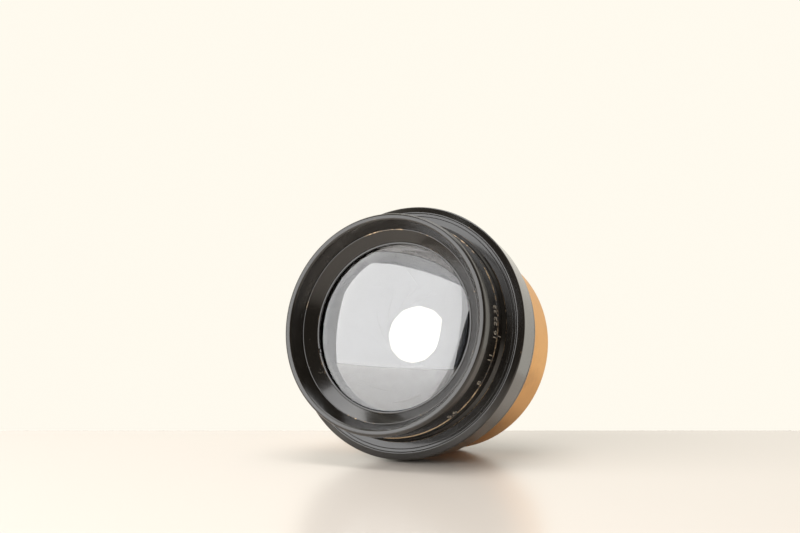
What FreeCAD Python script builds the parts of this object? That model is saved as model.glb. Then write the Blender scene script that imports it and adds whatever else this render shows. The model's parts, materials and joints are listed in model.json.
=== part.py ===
import FreeCAD, Part

import math
import os

# Portrait lens for a large view camera: a triplet of single glasses in a brass barrel,
# with an iris of thin leaves behind the front glass, worked by the ring round the front.
#
# Sizes are millimetres. Everything is drawn in a bench frame whose z axis is the optical
# axis, with z = 0 on the face that sits against the lens board and z growing to the rear.
# Angles are clockwise from the top as seen from the front of the lens. The last function
# turns each piece into the part's own frame: +Y to the rear, +Z up.

# Clearances and small cuts
THREAD_GAP = 0.03
RUNNING_GAP = 0.05
FACE_GAP = 0.10
PIN_GAP = 0.10
EDGE_BEVEL = 0.3
SMALL_BEVEL = 0.15
LARGEST_BEVEL_SHARE = 0.45
CUT_MARGIN = 1.0

# The iris opening, which every other radius is built out from
IRIS_OPENING_RADIUS = 27.0

# Iris
LEAF_COUNT = 12
LEAF_THICKNESS = 0.2
LEAF_PITCH = 0.32
LEAF_WIDTH = 9.2
LEAF_SWEEP = 112.0
LEAF_SMALLEST_OPENING = 4.75
LEAF_REST_OPENING = 9.45
PIVOT_MARGIN = 1.8
PIN_RADIUS = 0.6
EAR_RADIUS = 1.7
TAIL_LENGTH = 10.0
TAIL_ANGLE = -100.0
TAIL_HALF_WIDTH = 1.0
IRIS_BASE_THICKNESS = 1.5
IRIS_BASE_MARGIN = 0.6
BASE_RIM_WIDTH = 0.8

# Housing, the large black ring that holds the iris
POCKET_MARGIN = 7.0
HOUSING_LAND = 2.8
HOUSING_TAPER = 1.6
HOUSING_FRONT_BEVEL = 0.8

# Face plate with the hub that carries the aperture ring
FACE_THREAD_STEP = 1.2
FACE_THICKNESS = 2.5
FACE_GROOVE_INSET = 1.3
FACE_GROOVE_SIZE = 0.35
HUB_WALL = 2.35
HUB_LENGTH = 12.5

# Index collar at the root of the neck
COLLAR_STEP = 0.2
COLLAR_FOOT_STEP = 1.0
COLLAR_LENGTH = 6.1
COLLAR_FOOT_HEIGHT = 1.2

# Aperture ring, the neck and rim that turn
RING_WALL = 3.3
RIM_RISE = 1.1
RIM_LENGTH = 4.6
RIM_ROUND = 1.5
RIM_MOUTH_ROUND = 0.5
RIM_LAND = 2.8
RIM_DEPTH = 5.1
RING_LIP_THICKNESS = 1.4
RING_TRAVEL = 60.0

# Rear plate, which closes the housing and seats on the lens board
REAR_PLATE_SETBACK = 0.8
REAR_PLATE_THICKNESS = 3.2
REAR_SPIGOT_LENGTH = 1.9
REAR_SPIGOT_WALL = 2.6
SPANNER_HOLE_RADIUS = 1.0
SPANNER_HOLE_DEPTH = 1.2

# Brass barrel, whose shoulder sits in a shallow recess of the rear plate
BARREL_LENGTH = 27.7
BARREL_SHOULDER = 1.5
BARREL_SEAT_DEPTH = 0.5
BARREL_RELIEF = 0.7
BARREL_WALL = 3.8
BARREL_REAR_WALL = 5.0

# Front cell and glass
FRONT_CONVERGENCE = 4.9
FRONT_LEDGE = 0.7
FRONT_CELL_WALL = 3.05
CELL_FLANGE_SETBACK = 1.1
CELL_FLANGE_THICKNESS = 1.3
FRONT_GLASS_THICKNESS = 10.0
FRONT_GLASS_CURVE = 93.0
FRONT_STOP_WIDTH = 1.1
FRONT_STOP_THICKNESS = 1.5
CONE_DEPTH = 3.7
RETAINER_THICKNESS = 1.2
RETAINER_SLOT_WIDTH = 1.4
RETAINER_SLOT_DEPTH = 0.5
FRONT_SLOT_ANGLES = (69.0, 252.0)

# Cam ring and carrier, which the aperture ring turns
CAM_PLATE_THICKNESS = 1.2
CAM_INNER_MARGIN = 2.4
CAM_RIM_WIDTH = 2.8
CAM_RIM_LENGTH = 2.0
CARRIER_THICKNESS = 1.4
CARRIER_INNER_MARGIN = 1.3
CARRIER_GAP = 0.28
CARRIER_SCREW_COUNT = 4
CARRIER_SCREW_RADIUS = 0.8
CARRIER_SCREW_HEAD_RADIUS = 1.25
CARRIER_SCREW_HEAD_HEIGHT = 0.7
CARRIER_SCREW_LENGTH = 2.9
KEY_RADIUS = 0.9
KEY_ANGLE = 200.0
KEY_GRIP = 3.4

# Stop screw, whose point runs in a groove of the hub
STOP_SCREW_ANGLE = 255.0
STOP_SCREW_RADIUS = 0.9
STOP_SCREW_HEAD_RADIUS = 1.5
STOP_SCREW_HEAD_HEIGHT = 1.0
STOP_SCREW_POSITION = 3.0
STOP_GROOVE_DEPTH = 1.0

# Grub screws that lock the threads
GRUB_RADIUS = 0.8
DRIVER_SLOT_WIDTH = 0.35
DRIVER_SLOT_DEPTH = 0.5
COLLAR_GRUB_ANGLE = 315.0
FACE_GRUB_ANGLE = 285.0
REAR_GRUB_ANGLE = 305.0

# Middle cell and glass
MIDDLE_CELL_FRONT = 0.6
MIDDLE_CELL_WALL = 9.6
MIDDLE_LEDGE = 1.0
MIDDLE_EDGE_THICKNESS = 9.4
MIDDLE_FRONT_CURVE = 297.0
MIDDLE_REAR_CURVE = 91.3
MIDDLE_STOP_THICKNESS = 1.5
MIDDLE_RETAINER_THICKNESS = 1.3

# Rear cell and glass
REAR_DIVERGENCE = 3.0
REAR_LEDGE = 1.0
REAR_CELL_THREAD_LENGTH = 12.7
REAR_CELL_FLANGE_SETBACK = 2.8
REAR_CELL_FLANGE_THICKNESS = 2.4
REAR_CELL_TAIL_WALL = 5.5
REAR_CELL_TAIL_LENGTH = 3.5
REAR_FLARE_DEPTH = 8.5
REAR_LIP_WIDTH = 1.0
REAR_EDGE_THICKNESS = 6.2
REAR_FRONT_CURVE = 1076.0
REAR_REAR_CURVE = 194.8
REAR_RETAINER_THICKNESS = 2.6
PLAIN_SLOT_ANGLES = (0.0, 180.0)

# Radii that follow, from the iris opening outwards
LEAF_OUTER_RADIUS = IRIS_OPENING_RADIUS + LEAF_WIDTH
PIVOT_CIRCLE_RADIUS = LEAF_OUTER_RADIUS + PIVOT_MARGIN
IRIS_POCKET_RADIUS = PIVOT_CIRCLE_RADIUS + POCKET_MARGIN
IRIS_BASE_BORE = IRIS_OPENING_RADIUS + IRIS_BASE_MARGIN
FACE_RADIUS = IRIS_POCKET_RADIUS + FACE_THREAD_STEP
FACE_GROOVE_RADIUS = FACE_RADIUS - FACE_GROOVE_INSET
HOUSING_FRONT_RADIUS = FACE_RADIUS + HOUSING_LAND
HOUSING_REAR_RADIUS = HOUSING_FRONT_RADIUS - HOUSING_TAPER
REAR_PLATE_RADIUS = HOUSING_REAR_RADIUS - REAR_PLATE_SETBACK
FRONT_CLEAR_RADIUS = IRIS_OPENING_RADIUS + FRONT_CONVERGENCE
FRONT_GLASS_RADIUS = FRONT_CLEAR_RADIUS + FRONT_LEDGE
HUB_BORE_RADIUS = FRONT_GLASS_RADIUS + FRONT_CELL_WALL
HUB_RADIUS = HUB_BORE_RADIUS + HUB_WALL
CELL_FLANGE_RADIUS = HUB_RADIUS - CELL_FLANGE_SETBACK
NECK_RADIUS = HUB_RADIUS + RING_WALL
RIM_RADIUS = NECK_RADIUS + RIM_RISE
RIM_MOUTH_RADIUS = RIM_RADIUS - RIM_LAND
COLLAR_NECK_RADIUS = NECK_RADIUS + COLLAR_STEP
COLLAR_FOOT_RADIUS = COLLAR_NECK_RADIUS + COLLAR_FOOT_STEP
KEY_CIRCLE_RADIUS = (HUB_RADIUS + NECK_RADIUS) / 2
CARRIER_BORE = KEY_CIRCLE_RADIUS - CARRIER_INNER_MARGIN
CAM_BORE_RADIUS = PIVOT_CIRCLE_RADIUS - CAM_INNER_MARGIN
CAM_RIM_BORE = IRIS_POCKET_RADIUS - CAM_RIM_WIDTH
MIDDLE_CLEAR_RADIUS = IRIS_OPENING_RADIUS
MIDDLE_GLASS_RADIUS = MIDDLE_CLEAR_RADIUS + MIDDLE_LEDGE
BARREL_BORE = MIDDLE_GLASS_RADIUS + MIDDLE_CELL_WALL
BARREL_RADIUS = BARREL_BORE + BARREL_WALL
BARREL_REAR_BORE = BARREL_RADIUS - BARREL_REAR_WALL
BARREL_SPIGOT_RADIUS = BARREL_RADIUS - BARREL_SHOULDER
REAR_CLEAR_RADIUS = IRIS_OPENING_RADIUS + REAR_DIVERGENCE
REAR_GLASS_RADIUS = REAR_CLEAR_RADIUS + REAR_LEDGE
REAR_CELL_TAIL_RADIUS = REAR_GLASS_RADIUS + REAR_CELL_TAIL_WALL
REAR_CELL_FLANGE_RADIUS = BARREL_RADIUS - REAR_CELL_FLANGE_SETBACK

# Positions along the axis that follow, from the board's face forwards and then to the rear
PLATE_FRONT = -REAR_PLATE_THICKNESS
BASE_REAR = PLATE_FRONT - REAR_SPIGOT_LENGTH
BASE_FRONT = BASE_REAR - IRIS_BASE_THICKNESS
STACK_REAR = BASE_FRONT - FACE_GAP
STACK_FRONT = STACK_REAR - (LEAF_COUNT - 1) * LEAF_PITCH - LEAF_THICKNESS
CAM_REAR = STACK_FRONT - FACE_GAP
CAM_FRONT = CAM_REAR - CAM_PLATE_THICKNESS
CARRIER_REAR = CAM_FRONT - CAM_RIM_LENGTH
CARRIER_FRONT = CARRIER_REAR - CARRIER_THICKNESS
FACE_REAR = CARRIER_FRONT - CARRIER_GAP
FACE_FRONT = FACE_REAR - FACE_THICKNESS
HUB_FRONT = FACE_FRONT - HUB_LENGTH
COLLAR_FRONT = FACE_FRONT - COLLAR_LENGTH
RING_REAR = COLLAR_FRONT - FACE_GAP
RING_STEP = HUB_FRONT - FACE_GAP
RING_SHELF = RING_STEP - RING_LIP_THICKNESS
RING_FRONT = RING_SHELF - RIM_DEPTH
CELL_FRONT = HUB_FRONT - CELL_FLANGE_THICKNESS
CONE_FOOT = CELL_FRONT + CONE_DEPTH
GLASS_EDGE_FRONT = CONE_FOOT + RETAINER_THICKNESS
MIDDLE_EDGE_FRONT = MIDDLE_CELL_FRONT + MIDDLE_RETAINER_THICKNESS
MIDDLE_EDGE_REAR = MIDDLE_EDGE_FRONT + MIDDLE_EDGE_THICKNESS
MIDDLE_CELL_REAR = MIDDLE_EDGE_REAR + MIDDLE_STOP_THICKNESS
REAR_FLANGE_REAR = BARREL_LENGTH + REAR_CELL_FLANGE_THICKNESS
REAR_CELL_REAR = REAR_FLANGE_REAR + REAR_CELL_TAIL_LENGTH
REAR_RING_REAR = REAR_CELL_REAR - REAR_FLARE_DEPTH
REAR_EDGE_REAR = REAR_RING_REAR - REAR_RETAINER_THICKNESS
REAR_EDGE_FRONT = REAR_EDGE_REAR - REAR_EDGE_THICKNESS

# Angles of the iris that follow from its openings
LEAF_SWING = 2 * math.degrees(
    math.asin((IRIS_OPENING_RADIUS - LEAF_SMALLEST_OPENING) / (2 * PIVOT_CIRCLE_RADIUS))
)
LEAF_REST_ANGLE = 2 * math.degrees(
    math.asin((IRIS_OPENING_RADIUS - LEAF_REST_OPENING) / (2 * PIVOT_CIRCLE_RADIUS))
)
LEAF_RATIO = LEAF_SWING / RING_TRAVEL
RING_TO_OPEN = -LEAF_REST_ANGLE / LEAF_RATIO
RING_TO_CLOSED = RING_TO_OPEN + RING_TRAVEL
LEAF_SPACING = 360.0 / LEAF_COUNT

AXIS = FreeCAD.Vector(0, 0, 1)
CENTRE = FreeCAD.Vector(0, 0, 0)

# Sends the bench frame's x (up), y (right) and z (rear) to the part's Z, X and Y
TO_PART_FRAME = FreeCAD.Matrix(0, 1, 0, 0, 0, 0, 1, 0, 1, 0, 0, 0, 0, 0, 0, 1)


def polar(radius, angle, z=0.0):
    turn = math.radians(angle)
    return FreeCAD.Vector(radius * math.cos(turn), radius * math.sin(turn), z)


def cut_corner(before, corner, after, size):
    """Two points that replace a corner, each size away from it along its two sides."""
    points = []
    for neighbour in (before, after):
        run = math.hypot(neighbour[0] - corner[0], neighbour[1] - corner[1])
        share = min(size / run, LARGEST_BEVEL_SHARE)
        points.append(
            (
                corner[0] + (neighbour[0] - corner[0]) * share,
                corner[1] + (neighbour[1] - corner[1]) * share,
            )
        )
    return points


def turned(profile):
    """Solid of revolution. A corner is (radius, z) or (radius, z, bevel)."""
    points = []
    for place, corner in enumerate(profile):
        if len(corner) == 2:
            points.append(corner)
        else:
            before = profile[place - 1]
            after = profile[(place + 1) % len(profile)]
            points.extend(cut_corner(before, corner, after, corner[2]))
    vectors = [FreeCAD.Vector(radius, 0, z) for radius, z in points]
    face = Part.Face(Part.makePolygon(vectors + vectors[:1]))
    return face.revolve(CENTRE, AXIS, 360)


def band(inner, outer, front, rear, bevel=EDGE_BEVEL):
    """Plain turned ring with its outer corners bevelled."""
    return turned([(inner, front), (outer, front, bevel), (outer, rear, bevel), (inner, rear)])


def rounded(shape, radius, z, fillet):
    """Fillet the circular edge that lies at this radius and position."""
    chosen = []
    for edge in shape.Edges:
        if not isinstance(edge.Curve, Part.Circle):
            continue
        same_radius = abs(edge.Curve.Radius - radius) < 1e-4
        same_place = abs(edge.Curve.Center.z - z) < 1e-4
        if same_radius and same_place:
            chosen.append(edge)
    return shape.makeFillet(fillet, chosen)


def disc(radius, front, rear, place=CENTRE):
    start = FreeCAD.Vector(place.x, place.y, front)
    return Part.makeCylinder(radius, rear - front, start, AXIS)


def radial_rod(radius, inner, outer, angle, z):
    """Round rod that points straight out from the axis."""
    return Part.makeCylinder(radius, outer - inner, polar(inner, angle, z), polar(1, angle))


def arc_bar(centre, radius, half_width, start, end, front, rear):
    """Round-ended bar bent along a circular arc, used for slots and grooves."""
    corners = []
    for side in (radius - half_width, radius + half_width):
        corners.append([centre + polar(side, start + (end - start) * part) for part in (0, 0.5, 1)])
    inner, outer = corners
    caps = []
    for angle, turn in ((end, 180.0), (start, -180.0)):
        middle = centre + polar(radius, angle)
        caps.append(middle + polar(half_width, angle + turn / 2))
    edges = [
        Part.Arc(*inner).toShape(),
        Part.Arc(inner[2], caps[0], outer[2]).toShape(),
        Part.Arc(*reversed(outer)).toShape(),
        Part.Arc(outer[0], caps[1], inner[0]).toShape(),
    ]
    face = Part.Face(Part.Wire(edges))
    face.translate(FreeCAD.Vector(0, 0, front))
    return face.extrude(FreeCAD.Vector(0, 0, rear - front))


def sweep_slot(circle_radius, angle, half_width, front, rear):
    """Slot about the axis that clears a pin at this angle over the ring's travel."""
    start = angle + RING_TO_OPEN
    return arc_bar(CENTRE, circle_radius, half_width, start, start + RING_TRAVEL, front, rear)


def curve_sag(curve, radius):
    return curve - math.sqrt(curve**2 - radius**2)


def glass(radius, edge_front, edge_rear, front_dome, rear_dome):
    """Lens element. A dome is how far its face stands out at the axis, or in if negative."""
    front_axis = FreeCAD.Vector(0, 0, edge_front - front_dome)
    front_edge = FreeCAD.Vector(radius, 0, edge_front)
    rear_edge = FreeCAD.Vector(radius, 0, edge_rear)
    rear_axis = FreeCAD.Vector(0, 0, edge_rear + rear_dome)
    edges = [
        face_line(front_axis, front_edge, front_dome, -1),
        Part.makeLine(front_edge, rear_edge),
        face_line(rear_edge, rear_axis, rear_dome, 1),
        Part.makeLine(rear_axis, front_axis),
    ]
    return Part.Face(Part.Wire(edges)).revolve(CENTRE, AXIS, 360)


def face_line(start, end, dome, outward):
    """Half section of a lens face, an arc that meets the axis square."""
    if dome == 0:
        return Part.makeLine(start, end)
    radius = max(start.x, end.x)
    curve = (radius**2 + dome**2) / (2 * dome)
    vertex = start.z if start.x == 0 else end.z
    half = radius / 2
    drop = curve - math.copysign(math.sqrt(curve**2 - half**2), curve)
    middle = FreeCAD.Vector(half, 0, vertex - outward * drop)
    return Part.Arc(start, middle, end).toShape()


def spanner_slots(ring, inner, outer, angles, face, depth, width):
    """Cut straight slots across a retaining ring's face for a pin spanner."""
    for angle in angles:
        slot = Part.makeBox(outer - inner + 2 * CUT_MARGIN, width, abs(depth))
        slot.translate(FreeCAD.Vector(inner - CUT_MARGIN, -width / 2, min(face, face + depth)))
        slot.rotate(CENTRE, AXIS, angle)
        ring = ring.cut(slot)
    return ring


def grub_screw(angle, z, inner, outer):
    """Headless slotted screw set below the surface."""
    body = radial_rod(GRUB_RADIUS - THREAD_GAP, inner, outer, angle, z)
    return body.cut(driver_slot(GRUB_RADIUS, outer, angle, z))


def driver_slot(head_radius, surface, angle, z):
    """Cutter for the screwdriver slot in the outer end of a radial screw."""
    length = 2 * (head_radius + CUT_MARGIN)
    slot = Part.makeBox(DRIVER_SLOT_DEPTH + CUT_MARGIN, DRIVER_SLOT_WIDTH, length)
    slot.translate(FreeCAD.Vector(surface - DRIVER_SLOT_DEPTH, -DRIVER_SLOT_WIDTH / 2, z - length / 2))
    slot.rotate(CENTRE, AXIS, angle)
    return slot


def main_housing():
    shell = turned(
        [
            (IRIS_POCKET_RADIUS, FACE_REAR),
            (FACE_RADIUS, FACE_REAR),
            (FACE_RADIUS, FACE_FRONT),
            (HOUSING_FRONT_RADIUS, FACE_FRONT, HOUSING_FRONT_BEVEL),
            (HOUSING_REAR_RADIUS, PLATE_FRONT, EDGE_BEVEL),
            (IRIS_POCKET_RADIUS, PLATE_FRONT),
        ]
    )
    inner = IRIS_POCKET_RADIUS - CUT_MARGIN
    outer = HOUSING_FRONT_RADIUS + CUT_MARGIN
    face_grub = radial_rod(GRUB_RADIUS, inner, outer, FACE_GRUB_ANGLE, face_grub_position())
    rear_grub = radial_rod(GRUB_RADIUS, inner, outer, REAR_GRUB_ANGLE, rear_grub_position())
    return shell.cut(face_grub).cut(rear_grub)


def face_grub_position():
    return FACE_FRONT + FACE_THICKNESS / 2


def rear_grub_position():
    return PLATE_FRONT - REAR_SPIGOT_LENGTH / 2


def face_plate():
    """Flat black face in one piece with the hub."""
    plate = turned(
        [
            (HUB_BORE_RADIUS, HUB_FRONT),
            (HUB_RADIUS, HUB_FRONT, EDGE_BEVEL),
            (HUB_RADIUS, FACE_FRONT),
            (FACE_GROOVE_RADIUS - FACE_GROOVE_SIZE / 2, FACE_FRONT),
            (FACE_GROOVE_RADIUS, FACE_FRONT + FACE_GROOVE_SIZE),
            (FACE_GROOVE_RADIUS + FACE_GROOVE_SIZE / 2, FACE_FRONT),
            (FACE_RADIUS - THREAD_GAP, FACE_FRONT, EDGE_BEVEL),
            (FACE_RADIUS - THREAD_GAP, FACE_REAR),
            (HUB_BORE_RADIUS, FACE_REAR),
        ]
    )
    stop_groove = sweep_groove(HUB_RADIUS - STOP_GROOVE_DEPTH, HUB_RADIUS + CUT_MARGIN)
    return plate.cut(key_slot()).cut(stop_groove)


def key_slot():
    """Arc slot through the collar and the face plate for the key pin."""
    front = COLLAR_FRONT - CUT_MARGIN
    rear = FACE_REAR + CUT_MARGIN
    return sweep_slot(KEY_CIRCLE_RADIUS, KEY_ANGLE, KEY_RADIUS + PIN_GAP, front, rear)


def stop_position():
    return RING_REAR - STOP_SCREW_POSITION


def sweep_groove(inner, outer):
    """Groove round the hub that the point of the stop screw runs in."""
    half_width = STOP_SCREW_RADIUS + PIN_GAP
    margin = math.degrees(half_width / HUB_RADIUS)
    start = STOP_SCREW_ANGLE + RING_TO_OPEN - margin
    section = [
        FreeCAD.Vector(inner, 0, stop_position() - half_width),
        FreeCAD.Vector(outer, 0, stop_position() - half_width),
        FreeCAD.Vector(outer, 0, stop_position() + half_width),
        FreeCAD.Vector(inner, 0, stop_position() + half_width),
    ]
    face = Part.Face(Part.makePolygon(section + section[:1]))
    face.rotate(CENTRE, AXIS, start)
    return face.revolve(CENTRE, AXIS, RING_TRAVEL + 2 * margin)


def index_collar():
    collar = turned(
        [
            (HUB_RADIUS + THREAD_GAP, FACE_FRONT),
            (HUB_RADIUS + THREAD_GAP, COLLAR_FRONT),
            (COLLAR_NECK_RADIUS, COLLAR_FRONT, EDGE_BEVEL),
            (COLLAR_NECK_RADIUS, FACE_FRONT - COLLAR_FOOT_HEIGHT * 2),
            (COLLAR_FOOT_RADIUS, FACE_FRONT - COLLAR_FOOT_HEIGHT / 2),
            (COLLAR_FOOT_RADIUS, FACE_FRONT),
        ]
    )
    inner = HUB_RADIUS - CUT_MARGIN
    outer = COLLAR_FOOT_RADIUS + CUT_MARGIN
    hole = radial_rod(GRUB_RADIUS, inner, outer, COLLAR_GRUB_ANGLE, collar_grub_position())
    return collar.cut(key_slot()).cut(hole)


def collar_grub_position():
    return FACE_FRONT - COLLAR_LENGTH / 2 - EDGE_BEVEL


def aperture_ring():
    """Neck and rim in one piece, which turns on the hub."""
    bore = HUB_RADIUS + RUNNING_GAP
    shelf_bore = CELL_FLANGE_RADIUS + FACE_GAP
    rim_rear = RING_FRONT + RIM_LENGTH
    ring = turned(
        [
            (bore, RING_REAR),
            (bore, RING_STEP),
            (shelf_bore, RING_STEP),
            (shelf_bore, RING_SHELF, SMALL_BEVEL),
            (RIM_MOUTH_RADIUS, RING_FRONT),
            (RIM_RADIUS, RING_FRONT),
            (RIM_RADIUS, rim_rear),
            (NECK_RADIUS, rim_rear + RIM_RADIUS - NECK_RADIUS),
            (NECK_RADIUS, RING_REAR, EDGE_BEVEL),
        ]
    )
    ring = rounded(ring, RIM_RADIUS, RING_FRONT, RIM_ROUND)
    ring = rounded(ring, RIM_MOUTH_RADIUS, RING_FRONT, RIM_MOUTH_ROUND)
    key_hole = disc(KEY_RADIUS + THREAD_GAP, RING_REAR - KEY_GRIP, RING_REAR + CUT_MARGIN, key_place())
    surface = NECK_RADIUS + CUT_MARGIN
    shank = stop_rod(STOP_SCREW_RADIUS + THREAD_GAP, bore - CUT_MARGIN, surface)
    head = stop_rod(STOP_SCREW_HEAD_RADIUS + THREAD_GAP, NECK_RADIUS - STOP_SCREW_HEAD_HEIGHT, surface)
    return ring.cut(key_hole).cut(shank).cut(head)


def stop_rod(radius, inner, outer):
    """Round rod along the stop screw's own axis."""
    return radial_rod(radius, inner, outer, STOP_SCREW_ANGLE, stop_position())


def key_place():
    return polar(KEY_CIRCLE_RADIUS, KEY_ANGLE)


def key_pin():
    """Pin that carries the ring's turn through the slots to the cam ring's carrier."""
    return disc(KEY_RADIUS, RING_REAR - KEY_GRIP + THREAD_GAP, CARRIER_REAR, key_place())


def stop_screw():
    tip = HUB_RADIUS - STOP_GROOVE_DEPTH + PIN_GAP
    surface = NECK_RADIUS - SMALL_BEVEL
    shank = stop_rod(STOP_SCREW_RADIUS, tip, surface)
    head = stop_rod(STOP_SCREW_HEAD_RADIUS, NECK_RADIUS - STOP_SCREW_HEAD_HEIGHT + THREAD_GAP, surface)
    slot = driver_slot(STOP_SCREW_HEAD_RADIUS, surface, STOP_SCREW_ANGLE, stop_position())
    return shank.fuse(head).cut(slot).removeSplitter()


def collar_grub_screw():
    return grub_screw(
        COLLAR_GRUB_ANGLE, collar_grub_position(), HUB_RADIUS + THREAD_GAP, COLLAR_NECK_RADIUS - EDGE_BEVEL
    )


def face_grub_screw():
    outer = HOUSING_FRONT_RADIUS - HOUSING_FRONT_BEVEL
    return grub_screw(FACE_GRUB_ANGLE, face_grub_position(), FACE_RADIUS, outer)


def rear_grub_screw():
    outer = HOUSING_REAR_RADIUS - EDGE_BEVEL
    return grub_screw(REAR_GRUB_ANGLE, rear_grub_position(), IRIS_POCKET_RADIUS, outer)


def leaf_outline():
    """Iris leaf, fully open, with its pivot straight up from the axis."""
    crescent = arc_face(IRIS_OPENING_RADIUS, LEAF_OUTER_RADIUS, 0, LEAF_SWEEP)
    pivot = FreeCAD.Vector(PIVOT_CIRCLE_RADIUS, 0, 0)
    reach = PIVOT_CIRCLE_RADIUS - IRIS_OPENING_RADIUS - (LEAF_OUTER_RADIUS - IRIS_OPENING_RADIUS) / 2
    neck = Part.makePlane(reach, EAR_RADIUS * 2, pivot + FreeCAD.Vector(-reach, -EAR_RADIUS, 0))
    ear = flat_disc(EAR_RADIUS, pivot)
    tail = Part.makePlane(TAIL_LENGTH, TAIL_HALF_WIDTH * 2, FreeCAD.Vector(0, -TAIL_HALF_WIDTH, 0))
    tail.rotate(CENTRE, AXIS, TAIL_ANGLE)
    tail.translate(pivot)
    tail_end = flat_disc(TAIL_HALF_WIDTH, tail_pin_place())
    return crescent.fuse([neck, ear, tail, tail_end]).removeSplitter()


def arc_face(inner, outer, start, end):
    corners = []
    for radius in (inner, outer):
        corners.append([polar(radius, start + (end - start) * part) for part in (0, 0.5, 1)])
    near, far = corners
    edges = [
        Part.Arc(*near).toShape(),
        Part.makeLine(near[2], far[2]),
        Part.Arc(*reversed(far)).toShape(),
        Part.makeLine(far[0], near[0]),
    ]
    return Part.Face(Part.Wire(edges))


def flat_disc(radius, place):
    return Part.Face(Part.Wire(Part.makeCircle(radius, place, AXIS)))


def tail_pin_place():
    return FreeCAD.Vector(PIVOT_CIRCLE_RADIUS, 0, 0) + polar(TAIL_LENGTH, TAIL_ANGLE)


def iris_leaf(number):
    """One leaf with its pivot pin to the rear and its driving pin to the front."""
    front = STACK_FRONT + number * LEAF_PITCH
    pivot = FreeCAD.Vector(PIVOT_CIRCLE_RADIUS, 0, 0)
    outline = leaf_outline()
    outline.translate(FreeCAD.Vector(0, 0, front))
    plate = outline.extrude(FreeCAD.Vector(0, 0, LEAF_THICKNESS))
    pivot_pin = disc(PIN_RADIUS, front, BASE_REAR - FACE_GAP, pivot)
    tail_pin = disc(PIN_RADIUS, CAM_FRONT + FACE_GAP, front + LEAF_THICKNESS, tail_pin_place())
    leaf = plate.fuse([pivot_pin, tail_pin]).removeSplitter()
    leaf.rotate(pivot, AXIS, LEAF_REST_ANGLE)
    leaf.rotate(CENTRE, AXIS, number * LEAF_SPACING)
    return leaf


def iris_base():
    """Fixed plate whose holes are the leaves' pivots, with a rim the cam ring bears on."""
    outer = IRIS_POCKET_RADIUS - THREAD_GAP
    rim_bore = IRIS_POCKET_RADIUS - BASE_RIM_WIDTH
    rim_front = CAM_REAR + RUNNING_GAP
    plate = turned(
        [
            (IRIS_BASE_BORE, BASE_FRONT, EDGE_BEVEL),
            (rim_bore, BASE_FRONT),
            (rim_bore, rim_front),
            (outer, rim_front),
            (outer, BASE_REAR),
            (IRIS_BASE_BORE, BASE_REAR),
        ]
    )
    for number in range(LEAF_COUNT):
        place = polar(PIVOT_CIRCLE_RADIUS, number * LEAF_SPACING)
        hole = disc(PIN_RADIUS + RUNNING_GAP, BASE_FRONT - CUT_MARGIN, BASE_REAR + CUT_MARGIN, place)
        plate = plate.cut(hole)
    return plate


def driven_pin(turn):
    """Where a leaf's driving pin lies in the cam ring when the ring has turned this far."""
    pivot = FreeCAD.Vector(PIVOT_CIRCLE_RADIUS, 0, 0)
    swing = (turn - RING_TO_OPEN) * LEAF_RATIO
    place = pivot + polar(TAIL_LENGTH, TAIL_ANGLE + swing)
    return FreeCAD.Rotation(AXIS, -turn).multVec(place)


def cam_slot():
    """Slot that turns the leaf evenly with the ring, bent along the nearest arc."""
    start = driven_pin(RING_TO_OPEN)
    middle = driven_pin((RING_TO_OPEN + RING_TO_CLOSED) / 2)
    end = driven_pin(RING_TO_CLOSED)
    circle = Part.Arc(start, middle, end).toShape().Curve
    angles = []
    for point in (start, end):
        spoke = point - circle.Center
        angles.append(math.degrees(math.atan2(spoke.y, spoke.x)))
    if angles[1] > angles[0]:
        angles.reverse()
    front = CAM_FRONT - CUT_MARGIN
    rear = CAM_REAR + CUT_MARGIN
    return arc_bar(circle.Center, circle.Radius, PIN_RADIUS + PIN_GAP, angles[1], angles[0], front, rear)


def cam_ring():
    """Slotted plate in one piece with the rim that the carrier is screwed to."""
    outer = IRIS_POCKET_RADIUS - RUNNING_GAP
    ring = turned(
        [
            (CAM_BORE_RADIUS, CAM_FRONT),
            (CAM_RIM_BORE, CAM_FRONT),
            (CAM_RIM_BORE, CARRIER_REAR),
            (outer, CARRIER_REAR),
            (outer, CAM_REAR),
            (CAM_BORE_RADIUS, CAM_REAR),
        ]
    )
    slot = cam_slot()
    for number in range(LEAF_COUNT):
        cutter = slot.copy()
        cutter.rotate(CENTRE, AXIS, number * LEAF_SPACING)
        ring = ring.cut(clear_of_rim(cutter))
    for place in carrier_screw_places():
        hole_end = CARRIER_FRONT + CARRIER_SCREW_LENGTH + THREAD_GAP
        hole = disc(CARRIER_SCREW_RADIUS + THREAD_GAP, CARRIER_REAR - CUT_MARGIN, hole_end, place)
        ring = ring.cut(hole)
    return ring


def clear_of_rim(cutter):
    """Keep a slot's cutter within the plate, so that it leaves the rim in front whole."""
    plate = disc(IRIS_POCKET_RADIUS, CAM_FRONT, CAM_REAR + CUT_MARGIN)
    return cutter.common(plate)


def carrier_screw_places():
    radius = (CAM_RIM_BORE + IRIS_POCKET_RADIUS) / 2
    spacing = 360.0 / CARRIER_SCREW_COUNT
    return [polar(radius, (number + 0.5) * spacing) for number in range(CARRIER_SCREW_COUNT)]


def cam_carrier():
    carrier = band(CARRIER_BORE, IRIS_POCKET_RADIUS - RUNNING_GAP, CARRIER_FRONT, CARRIER_REAR, SMALL_BEVEL)
    front = CARRIER_FRONT - CUT_MARGIN
    rear = CARRIER_REAR + CUT_MARGIN
    head_depth = CARRIER_FRONT + CARRIER_SCREW_HEAD_HEIGHT + THREAD_GAP
    for place in carrier_screw_places():
        hole = disc(CARRIER_SCREW_RADIUS + THREAD_GAP, front, rear, place)
        recess = disc(CARRIER_SCREW_HEAD_RADIUS + THREAD_GAP, front, head_depth, place)
        carrier = carrier.cut(hole).cut(recess)
    return carrier.cut(disc(KEY_RADIUS + THREAD_GAP, front, rear, key_place()))


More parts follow.
